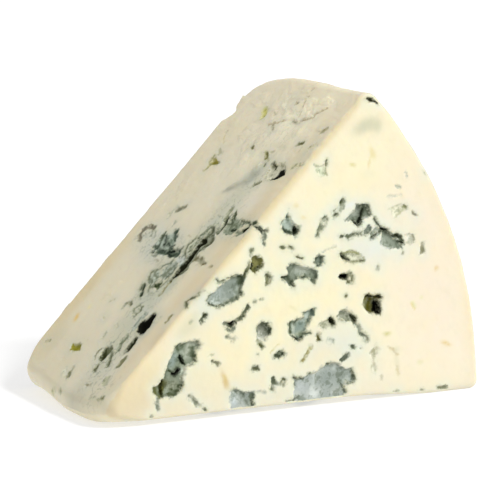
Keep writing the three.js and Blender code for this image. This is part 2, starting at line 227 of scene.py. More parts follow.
# Soft tints inside the mould: its own tones, and painted light and shade on the lit and shaded sides of
# the sunk patches. Place, length, width, turn in degrees, colour, strength.
# painted highlight on a white crumb at the top of the dark patch
# painted shade in the deepest pore: dark olive to black where its wall lies in shadow
FRONT_TINTS_AND_SHADING = """
22.3 14 5 2.2 62 150,166,158 0.9
26.2 15.8 4 2 75 190,196,178 0.8
24.4 11.5 1.8 1.5 0 214,222,206 0.9
17.9 7.7 2 2.4 0 118,120,72 0.9
19.8 8.2 0.8 3 0 132,130,50 0.9
44 34 1.2 2 0 156,152,88 0.8
22.4 8.2 3.4 3 0 152,156,132 0.8
28 17 2.4 1.2 20 140,148,128 0.7
20.4 9 1.4 2 0 100,100,56 0.8
32.4 26.8 4 1.8 30 192,203,198 0.8
33 25.9 4 0.8 -10 216,224,218 0.8
33.6 28.4 2.6 1.2 20 180,190,184 0.7
36.2 29.4 3.4 2.4 40 138,150,138 0.8
38.9 29.8 1.4 3.4 10 108,119,100 0.7
37.6 31.3 3.4 1.1 15 116,126,106 0.8
43.8 17.5 2.6 2 -30 218,220,208 0.95
44.9 19.7 2.8 1.7 0 100,106,92 0.85
37.1 3.4 2 3.6 0 198,208,208 0.9
39.6 4.2 3 2.4 0 144,154,146 0.9
41.5 3.4 1.7 3.6 0 128,138,124 0.9
39 1.9 2.6 1.2 0 194,202,194 0.8
54 18.9 3.6 2.3 60 136,154,145 0.95
52.3 18.4 0.8 2.8 0 204,212,196 0.85
55.6 21 1.6 1.3 40 206,218,208 0.9
54 16.9 2.6 1 0 178,186,158 0.8
51.3 18.6 1 3.4 0 112,122,98 0.9
62 19.2 1.8 1.8 0 104,106,72 0.9
67.7 19 1.1 2.8 -20 94,100,74 0.9
70.5 22.3 1.5 3.2 10 180,180,148 0.9
72.9 22.8 3 2 -10 60,58,6 0.95
72.4 21.4 2 4 0 84,82,34 0.9
54 5 4.4 4.4 0 194,202,199 0.9
57.4 3.2 4.6 2.8 20 208,214,208 0.9
60.6 6.2 4 3.8 30 154,165,158 0.9
64.7 6.7 4.2 3 0 143,154,143 0.9
63.4 3 3 2 0 184,190,180 0.8
52.8 3 2.6 2.2 0 212,217,209 0.9
62.3 9.1 2.8 1.2 -10 138,148,136 0.8
52.7 40.6 1.8 2.4 10 90,102,78 0.9
70.2 44.2 2.6 2 0 92,101,82 0.8
69.4 42.8 1.7 3.4 10 58,68,46 0.9
66.4 42.6 2 1.4 20 146,156,140 0.9
67.4 44.6 1.6 1 10 236,238,226 0.9
64.1 46 1.4 1.8 0 112,120,88 0.9
76 38.2 3 1.4 -35 98,107,88 0.9
51 29.4 3 1.6 -45 104,114,94 0.8
57.6 29.2 1.6 2 -30 104,114,94 0.8
54.4 31.4 4 1.4 -15 160,168,152 0.7
58.4 33.5 1.2 1 0 150,162,148 0.8
"""
# painted shade in the deepest pore: black and dark olive where its walls lie in shadow
# painted shade: the black of the pore below the slit
FRONT_INK_AND_SHADE = """
0 30,40,24 1.9  23.7,15.8 24.3,15.2 25,13.9 25.6,12.6 24.6,12.7 23.9,13.8
0.6 90,102,76 0.8  23.2,17.2 23.7,16
1 6,7,2 1.8  22.2,11 22.9,10.9 23.7,11.7
0.7 70,82,54 1.2  21.4,11.9 22,11.4
0.8 56,56,12 1.5  19.5,9.7 19.3,8.4 19.5,6.6
0.3 110,112,60 0.8  17.3,8.4 18,6.9 18.6,6.4
0.5 76,84,52 1  21.5,7.6 22,7.5
0.5 66,74,48 1  23.6,8 24,8.3
0.5 74,84,58 0.8  27.1,16.2 26.9,15.2 27.4,14.2 27.5,13.4
0.5 86,98,74 0.6  24.4,16.4 24.9,17.5
0.35 94,104,78 0.6  21,12.6 20.4,11.2 19.8,10.2
0.5 70,78,50 0.8  22.8,7 24,7.3 24.4,8.2
0.5 74,80,48 0.8  20.6,6.6 21.8,6.4
0.55 40,46,26 0.8  41.2,42.5 42.8,41.9 44.2,41 45.4,41.1
0.45 118,124,104 0.4  44.7,40.6 44.1,39.6 44.5,38.3
0.4 70,82,60 1  30.9,26 32,25.4 33.2,25.1 34.6,25.4
0.35 100,110,88 0.8  34.8,25.6 36.4,26.2 38.1,26.6
0.35 90,100,78 0.6  30.5,26.7 31.1,27.6
0.25 140,150,132 0.4  31.2,26.4 32.4,27.4
0.6 62,72,48 0.9  38.6,31.2 39.3,31 39,30
0.5 92,100,76 0.8  38.6,28.4 38.9,27.4
0.5 74,80,52 0.7  39.8,31.5 40,32.3
0.4 104,108,74 0.5  40.6,33.4 40.9,34.2
0.25 120,124,94 0.3  41.3,36.8 42,37.2
0.35 108,116,94 0.6  35.2,31.2 36.6,31.4 37.6,31.8
0.5 112,122,98 0.6  32.8,31.3 33.4,30.4 34.6,30.8
0.9 72,82,60 0.8  25.2,26 25.6,26.8
0.45 92,102,78 0.6  25.8,27 27.2,27.7 28.6,28.6
0.3 112,120,98 0.4  28.6,28.6 29.6,29.2
0.7 50,52,16 1.8  41.3,32.8 41.7,34
0.6 84,86,44 1.4  42.8,32.5 43.5,33.1
0.4 98,98,58 1  43.3,35 42.6,35.4
0.6 64,72,46 0.8  29.8,23.2 30.1,23.6
1 6,7,2 1.5  36.5,21 37,21.3
0.5 86,92,66 0.7  38.6,22 39.5,22.4
0.35 106,112,84 0.5  39.7,23.4 40.1,24.2
0.3 110,118,98 0.4  35.3,20.2 35.5,19.4
0.45 62,70,50 1  45.6,19.6 46.2,18.7 46,17.9
0.4 84,90,70 0.9  44.2,20.3 45.4,20.2
0.35 100,108,90 0.8  43,19.6 42.9,18.6
0.6 86,88,50 0.5  43.4,15.6 44,15.2
0.6 96,100,70 0.5  42.1,10.3 42.6,10.2
0.6 64,74,52 0.9  47.7,12.6 48.6,12.4 49.4,12.9
0.4 80,90,66 0.6  48,13.4 48.6,13.6
0.4 118,118,82 0.4  32,12.7 32.8,12.3
0.4 160,162,132 0.2  42.9,13.5 43.1,13.5
0.5 150,154,126 0.2  42,25.4 42.3,25.5
0.4 160,164,136 0.2  43.7,25.9 44.1,25.9
0.4 186,188,160 0.2  26,22 26.6,22.4
0.5 98,108,92 0.7  38.9,4.9 39.6,4.5
0.4 108,116,100 0.6  40.3,3.2 40.6,2.2
0.4 90,98,78 0.7  41.9,4.6 41.5,3.2 41.7,1.9
0.35 110,120,106 0.5  37,6.1 37.9,5.4
0.3 172,178,162 0.2  41.8,5.1 43.4,5 45,4.7
0.4 134,138,116 0.4  27.2,4.6 27.8,3.9
0.5 96,102,80 0.4  29.6,2.4 30,2.1
0.4 124,130,106 0.3  16.6,2.1 16.9,2
0.5 92,98,76 0.6  46.8,7.4 46.9,7
0.5 92,98,78 0.5  46.4,5.1 46.8,4.9
0.4 104,104,70 0.5  49.5,7.2 49.9,6.8
0.4 76,84,58 1  51,19.6 51.5,18.4 51.7,17.2
0.5 36,46,28 1.3  52,16.6 53.3,15.6 54.3,16.3
0.3 110,118,96 0.7  54.4,16.8 56.2,17.1
0.5 82,100,88 1  56.9,22.4 56.6,21.2 56,19.9
0.3 94,110,96 0.8  54.6,21.6 56,22.1 57,22.5
0.3 96,106,90 0.8  52.8,20.4 52.6,19.2
0 36,40,14 1.9  60.9,19.9 61.4,20.3 62.2,19.6 62.7,18.4 61.8,18.5 61.2,19
0.5 98,94,52 0.6  58.4,15.9 58.7,15.2
0.6 48,52,26 1.1  67,20 67.7,19.2 68,18.4
0.25 120,126,102 0.5  63.7,19.5 64.6,19 66.2,18.9
0.4 136,142,122 0.4  68.7,17.4 69.2,16.4
0.4 94,102,82 0.5  69.2,15.6 70,15.4 70.8,14.9 71,14
0.35 110,116,98 0.4  70,14.4 70.6,13.9 71,14.3
0 0,0,0 2.1  72.9,20.6 72.9,22.3 74.2,23 74.5,21.6 74.3,19.7 73.3,19.5
0.9 92,88,26 1.8  72.1,20.6 72,21.9 72.6,23.2
0.6 44,42,0 1.9  70.6,23.9 71.5,24.3 72.6,23.8 74,23.9 74.6,23.5
0.4 220,208,170 0.2  76.4,11.8 77.6,11.4 79,9.8
0.35 224,212,172 0.2  78.8,7.2 79.3,5.4
0.4 206,200,170 0.2  74.8,5.5 74.9,4.5
0.5 240,224,164 0.1  82.6,21.2 83.3,20.3
0.5 178,174,140 0.3  72,11 73.4,11.9
0.4 206,200,170 0.2  72.6,9 72.7,8
0.35 146,136,82 0.5  54.4,10.8 54.9,12 55.8,13
0.25 222,216,150 0.2  46.2,13.6 47.2,14.4 48.3,15.3
0.5 104,112,94 0.6  64.9,10.5 65.7,11.1
0.5 96,104,82 0.5  67,12.9 67.4,12.6
0.6 62,70,48 0.9  52,7.3 52.6,7.2
0.5 62,70,48 0.8  53.8,7.2 54.4,6.8
0.4 96,104,84 0.6  52.3,6 52.5,5.4
0.4 120,126,108 0.4  50.4,2 51.6,2.1
0.6 76,82,64 0.5  52,2.2 53.2,2.7
0.4 88,98,80 0.9  64.2,4.9 64.8,3.8 65.4,2.5
0.4 82,92,74 0.9  60.6,9.5 61.4,9.6
0.4 82,92,70 0.9  67.2,7.4 67.5,6.2 67.8,5.2
0.3 106,114,94 0.6  65.7,5.2 66.2,4.6 67.4,4.6
0.3 100,110,92 0.6  55.6,7.5 56.4,7.7
0 28,36,20 2  52.2,41.5 53.2,41.3 53,40 52.3,39.4 52,40.6
0.5 50,60,42 1.3  51.8,40.1 50.2,40.4 49.3,41.3
0.7 88,98,74 0.9  50.4,43.8 50.7,43.7
0.5 88,98,76 0.8  49.1,42.7 49.4,42.7
0.4 92,98,66 0.5  58.1,39 58.4,40.4 58.9,41.6
0.25 130,136,108 0.4  60.5,42.4 59.9,41.2 59,39.9
0.4 96,102,72 0.6  59.2,42.4 59.9,43.1
0.3 150,154,128 0.4  60.1,42.1 60.4,41.6
0.7 18,24,10 1.2  69,41.2 69.5,42.6 70,44
0.35 70,78,60 0.8  69.2,44.9 70.8,44.9
0.35 62,70,50 1.6  67.2,41.4 68.6,40.6 69.4,41.2
0.3 84,92,72 1.2  71,44.4 71.7,42.8
0.7 104,110,84 0.8  62.4,43.1 63,43.3
0.3 130,136,108 0.5  62,44.2 63,44.8
0.7 78,84,54 0.8  64,46 64.5,46.5
0.7 96,102,78 0.5  64.1,38.3 64.4,38.3
0.4 92,98,72 0.5  65.9,38 67.6,38.7 69,38.5
0.35 104,112,92 0.5  70.3,38.3 71.7,38.6 72.1,37.7
0.5 60,68,48 0.8  71.9,37.4 73.4,38 74.5,38.8
0.4 100,109,88 0.8  72.6,41.8 73.3,40.7 74.3,39.7
0.9 26,32,16 1.1  74.5,39.4 75.8,38.9
0.4 62,70,50 1.2  75.6,38.8 77.2,37.6 78.4,37
0.7 56,62,40 1.1  78.2,37.6 79.6,36.9
0.6 56,62,42 1.1  79.1,35.9 80.2,35.6
0.3 164,162,134 0.3  82.6,37.2 83.1,36.4 82.9,35.6
0.5 146,144,112 0.3  85.2,33.4 85.3,34.2
0.25 192,192,170 0.3  80.5,37.3 81.7,37.5 82.8,37.1 82.8,36 82.2,35.2 80.9,35.5
0.8 44,48,14 1.4  64.1,34.2 64.7,33.6 65.5,33
0.7 44,46,12 1.3  65.5,32.9 66.6,32.6
0.4 96,96,44 1  66.8,32.4 68.8,32.1 69.8,32.4
0.3 160,162,112 0.3  64.4,34.6 66.8,34.7 68.8,34 69.8,33
1.1 2,4,0 2  64.5,29.1 65.6,29.1
0.35 118,120,86 0.4  66.4,29.6 67.1,28.8 66.9,28
0.5 90,92,58 0.5  65.9,28.1 66.3,27.8
0.5 66,76,56 1.1  49,30.2 50.6,30.2 51.6,29.2 52,28
0.35 84,94,74 1  53.6,29.8 55.2,29.8 56.4,29.2 57.4,28.6
0.25 104,114,96 0.7  51.2,33 52.4,33
0.4 72,84,66 1  57.5,33 57.9,33.7
0.35 80,92,74 0.9  59.2,34.1 59.6,33
0.3 80,92,74 0.9  57.8,32.1 59,32.3
0.35 198,202,182 0.2  59.2,35.2 61,35.8 62.6,36
0.4 100,104,72 0.8  45.1,31.3 46,30.6
0.4 112,114,80 0.7  45.4,29.2 46,29.4
0.6 112,116,84 0.4  48.8,37 49.5,37.1
0.6 124,128,98 0.4  50.7,36.9 51.2,36.8 51.8,36.4
0.5 112,112,78 0.5  52.7,34.6 53.5,34.3 54.2,34.2
0.5 136,140,116 0.3  73.5,30.3 73.6,30.7
0.4 160,160,134 0.2  80,33.1 80.1,33.3
0.4 110,110,76 0.3  65.2,24.6 65.5,24.7
0.4 112,114,76 0.5  60.2,55.8 60.1,54.6
0.35 166,170,130 0.4  60,54.4 60.2,52.4
0.3 182,186,152 0.3  57,54.8 58.6,54.5 59.6,54.8
0.6 200,202,180 0.3  78.2,48.7 79.2,48.3
0.5 204,206,190 0.2  80.6,51.6 80.9,50.8
0.3 216,216,194 0.2  76,46.5 78,46.4 79.6,46.6
0.6 140,142,100 0.4  80.2,44.2 80.9,43.6
0.3 198,198,160 0.3  80.6,43.4 79.2,42.4 78,41.5
0.25 204,204,172 0.3  76.2,43.6 78,44 79.8,44.6
0.6 160,158,136 0.4  82.6,42.3 83.5,41.4
0.3 190,188,158 0.3  71.6,10.8 72.8,12
0.5 130,132,104 0.3  90,1 91.6,1
0.4 128,132,104 0.2  78.5,1.2 78.9,1.2
0.4 40,44,24 0.7  70.4,68.9 71.6,68.8 73.2,67.8
0.55 84,94,72 0.4  85.7,52.4 86.5,51
"""
# Soft spots of the paste, written like the tints: stains and flecks, paler and darker tones, and one
# painted highlight on a white crumb.
# painted highlight on a white crumb at the top of the dark patch
FRONT_SPOTS_AND_HIGHLIGHT = """
46 22 44 34 30 255,247,206 0.8
30 12 20 14 30 255,246,208 0.6
66 52 30 14 45 255,248,212 0.7
88 26 26 60 10 252,240,218 0.9
99 22 6 44 4 247,234,204 0.9
90 45 7 34 30 248,238,208 0.7
50 3 64 11 0 238,242,226 0.75
78 5 34 12 0 250,240,218 0.5
74 37 24 12 -10 240,243,226 0.7
66 44 16 9 0 240,243,224 0.6
54 31 20 12 0 240,243,218 0.5
52 42 10 10 0 238,242,222 0.5
23 11 16 18 60 238,242,216 0.6
35 29 16 9 30 236,241,220 0.6
28.4 27.2 5 2.6 25 226,232,220 0.8
62 14 20 9 0 236,238,222 0.6
70 62.8 7 3.4 20 214,214,184 0.9
73 62.6 3.4 3.4 0 212,212,182 0.7
82.8 57 6 0.9 -51 196,198,190 0.6
78.4 11 3 1.6 0 230,226,192 0.7
78.8 8 1.4 7 8 234,228,196 0.7
4 3 26 16 0 236,220,184 0.9
30 5 60 12 0 242,232,202 0.6
30 15 30 14 30 244,236,204 0.5
58 12 30 12 0 240,234,208 0.5
50 50.6 150 3.2 45.2 226,208,160 0.75
70.7 51.8 4 2.4 0 244,240,206 0.6
8 5 30 18 20 230,214,176 0.7
72 35.6 15 6 0 236,241,234 0.8
66.4 45.3 2.6 1.4 20 244,247,243 0.9
30 25 6 4 0 232,238,226 0.7
66 13 10 9 0 234,237,222 0.6
20 20 16 8 45 248,236,206 0.6
50 1.5 120 7 0 240,232,206 0.5
60 0 150 3 0 226,222,202 0.85
62 1 14 6 0 232,230,208 0.7
26 20 14 8 40 240,233,206 0.5
26.5 21.6 8 4 40 222,222,194 0.85
14 11 14 7 40 240,226,186 0.7
# amber and yellow flecks
34.8 8.6 4.6 1.3 -68 222,198,136 1
35.2 7.4 2.2 1.5 -70 222,196,134 1
37.2 5.9 3.4 0.9 -25 232,210,156 0.7
91.8 11.3 2.8 0.9 -22 238,212,146 0.9
89 29 1.2 1.2 0 236,208,142 0.85
72 56.6 1.4 3 20 240,226,166 0.8
71.3 54.6 0.7 3 -12 238,222,160 0.8
66.9 54.4 1.9 0.9 -20 228,220,146 0.85
76.2 15 2 1 0 214,210,138 0.9
83 21.2 2.2 1 -45 234,234,180 0.7
85 22.6 1 1 0 234,234,186 0.7
85 7.6 1.8 1.2 0 236,232,184 0.8
52.4 46.1 1.4 1 20 238,224,160 0.7
54.3 43.3 1.8 0.9 0 240,226,164 0.7
52 23 2.4 0.7 -35 240,232,180 0.7
"""
# painted highlight on the lit sides of the flakes
SLOPE_MOULD_AND_HIGHLIGHTS = """
# near the tip
1.2 112,112,82 0.2  14.4,15.2 15.9,15.8
0 112,116,88 0.4  16.6,15.2 17.4,17.2 18.6,18 20,18.6 21.3,17 21.2,15.4 19.4,15
0.5 150,152,126 0.2  16.6,18.8 18,20 19.6,19.6 20.2,18.4
1.1 124,128,102 0.2  16.6,11.6 17.8,12.6 19.6,14.2
1.5 142,148,124 0.2  21.2,13 22.8,14 24.6,13.6
1.4 172,178,164 0.1  27.2,13.4 29,14.2 31.2,13.4
1.8 174,174,146 0.1  12.6,7 14,8
1.5 146,144,114 0.2  17.8,7.6 19.6,7.8
1 142,142,106 0.1  8.7,4.3 9.4,3.4
0.6 168,168,138 0.1  8.2,7.8 8.6,6.6
0.9 172,164,138 0.1  10.4,13.6 10.9,12.2
0.8 140,140,110 0.2  10.6,23.3 11.6,24.3 13,24.4
1.6 190,190,168 0.1  11.2,25.6 11.6,27
0.8 172,170,128 0.1  6.1,27 6.8,25.6
0.9 162,160,128 0.1  6.8,22 7.3,22.8
0.9 176,174,146 0.1  22.2,22.4 23.4,22.8
0.8 168,164,134 0.1  26,20.4 26.5,21.2
0.8 196,188,156 0.1  26.4,28 26.9,29.4
0.9 170,162,126 0.1  30.8,3 32.8,3.3
0.8 182,178,150 0.1  30.8,7.2 31.4,6.6
0.7 150,150,124 0.2  30.8,24.3 32,24.5 32.7,23.4 32.1,22.1
0.8 156,160,136 0.2  30.4,17.2 30.5,18.8 31.6,19.5 32.6,18.6 32.4,17.2 31.2,16.6
0 176,182,166 0.1  37.8,20.4 38.4,22.4 40.2,24 41.8,24.2 42.6,22.2 41.2,20.6 39.6,20
1 140,146,124 0.2  35,21.2 36.4,22.4 37.6,23.4
0.8 148,152,130 0.1  36,23.5 37,24.3 37.9,23.8
1.2 120,128,96 0.3  38,17.4 38.6,18.8 39.3,17.6
0.7 164,168,146 0.1  39.6,18 42,18.1 44,18.6 45.8,19.6
# the long crevice and what crosses it
0.8 160,154,118 0.2  36.4,14.4 37.5,14 38.4,14.6 40.5,14.2
0 138,140,118 0.4  41,14.6 43,15.2 47.4,15.2 50.4,15.5 54,15.4 56.6,15.4 56,13.8 55,12.6 53.9,11 \
  52.4,10.4 51,11.6 49.4,12.9 47.4,12.7 45.8,12.2 44.6,11.6 43.2,12.4 42,13.6
1.5 142,137,107 0.2  47.5,13 47.8,10.4 47.4,7.7
1.8 186,190,181 0.1  46.2,18.4 46.4,16.6 45.6,15.8
2.2 96,110,94 0.3  47.4,20.6 47.2,22.8 47.6,25.6
0 166,176,162 0.2  46.6,25.2 46,28 46.4,31.8 49.4,33 51,31 52.8,28.6 50.6,25.6 48.6,25
1.5 104,118,102 0.2  46.8,25.4 46.6,28.6 47.4,31.8
1.2 104,118,102 0.2  50.2,25.9 51.2,27.7 52.8,28.4
0.9 92,102,84 0.2  49.3,31.7 50.4,32.4 51.6,32.8
1.4 186,186,164 0.1  49.6,16.8 51,18 52.6,17.6
1 166,170,148 0.1  53.6,16.6 55.6,16.6 57.4,15.8
1.3 148,142,124 0.2  48,40.6 48.9,42.2 50.3,42.8 51.8,41.2 51.8,39
1.8 182,182,166 0.1  49,39.6 50.4,37.6 49.6,35.8
0 146,153,132 0.2  55.8,6 55.6,9 56.4,11 58.4,10.6 60.2,10.8 60.2,7.6 59.4,5.2 58.2,5 57,5.6
1 112,120,98 0.2  60,9.8 61.4,11.2
0.9 146,152,132 0.2  57,4.9 56.7,3.4 57.6,2.2 59.2,2 60.1,3 60,4.6 58.6,5
1 100,110,90 0.2  60.3,1.6 60.3,0.2 59.8,-1
1.4 172,174,148 0.1  59.4,13.2 60.8,14 62.2,13.8
1.6 116,122,100 0.4  55.6,11.6 57.6,11.8 59.4,12.6
1 186,184,162 0.1  55.6,36.8 57,37.4 58.6,36.4
1.3 150,148,126 0.2  57.6,35.8 58.4,34.4 59.4,33.4
1 190,186,166 0.1  52.8,32.4 55,32.2
# the hollow near the ridge
0 198,195,172 0.5  71.8,9 72,7 73,5.2 73.8,4.5 75,5.2 76.4,7 76.8,9.2 76.2,11.2 74.6,12.2 73,12 72.1,10.8
1.2 150,150,124 0.2  69.3,13 70.4,11.6
0.9 176,172,130 0.1  76.6,15.8 77.4,17.4 78.2,19
0.9 164,162,128 0.1  82.4,9 82.8,7.4
1.2 190,182,150 0.1  86.6,4.4 87.8,2.8
1.6 196,190,156 0.1  76.2,3.8 77.6,1
1.4 200,193,162 0.1  81.8,3 83,2.2
# olive and yellow spots
0 146,140,44 0.3  16.5,31.2 17.2,32.3 18.3,32.8 18.6,30.8 18.8,29 17.4,27.2 16.7,29
0 152,144,66 0.3  71.4,36.6 71.6,34.6 72.2,33.9 73,35.2 73.8,37 73,38 72,37.8
1 180,174,128 0.1  69.8,37.6 71.4,37 72.4,38.8 73.8,38.6
1.8 190,185,94 0.2  87.4,32.4 88.6,33.4 89,34.2
1 184,179,150 0.1  84,23.6 85.4,25.4
1.1 172,168,138 0.1  75,37 75.8,38.8
0.8 160,156,120 0.1  78.2,25.4 79,26.8
0.8 180,170,140 0.1  87.8,15.6 88.4,14.9
0.8 186,177,148 0.1  92.6,22.8 93.1,24
0.9 186,180,150 0.1  16.2,44.2 16.6,43
0.6 200,193,164 0.1  31.2,31.4 31.6,30.6
0 162,168,153 0.1  40.4,17 42.6,16 44.8,16.8 46,18.8 44.6,20.6 42.2,21 40.2,19.4
# the light sides of flakes
0.3 234,228,202 0  92.7,28.4 93.7,27.6 94.3,26.2
0.3 234,228,202 0  90.4,25.4 91.7,27.7
0.3 236,229,202 0  88.7,13.6 90.2,10.7 91.6,10.7
0.3 230,224,198 0  86,26.2 87.2,23.6
"""
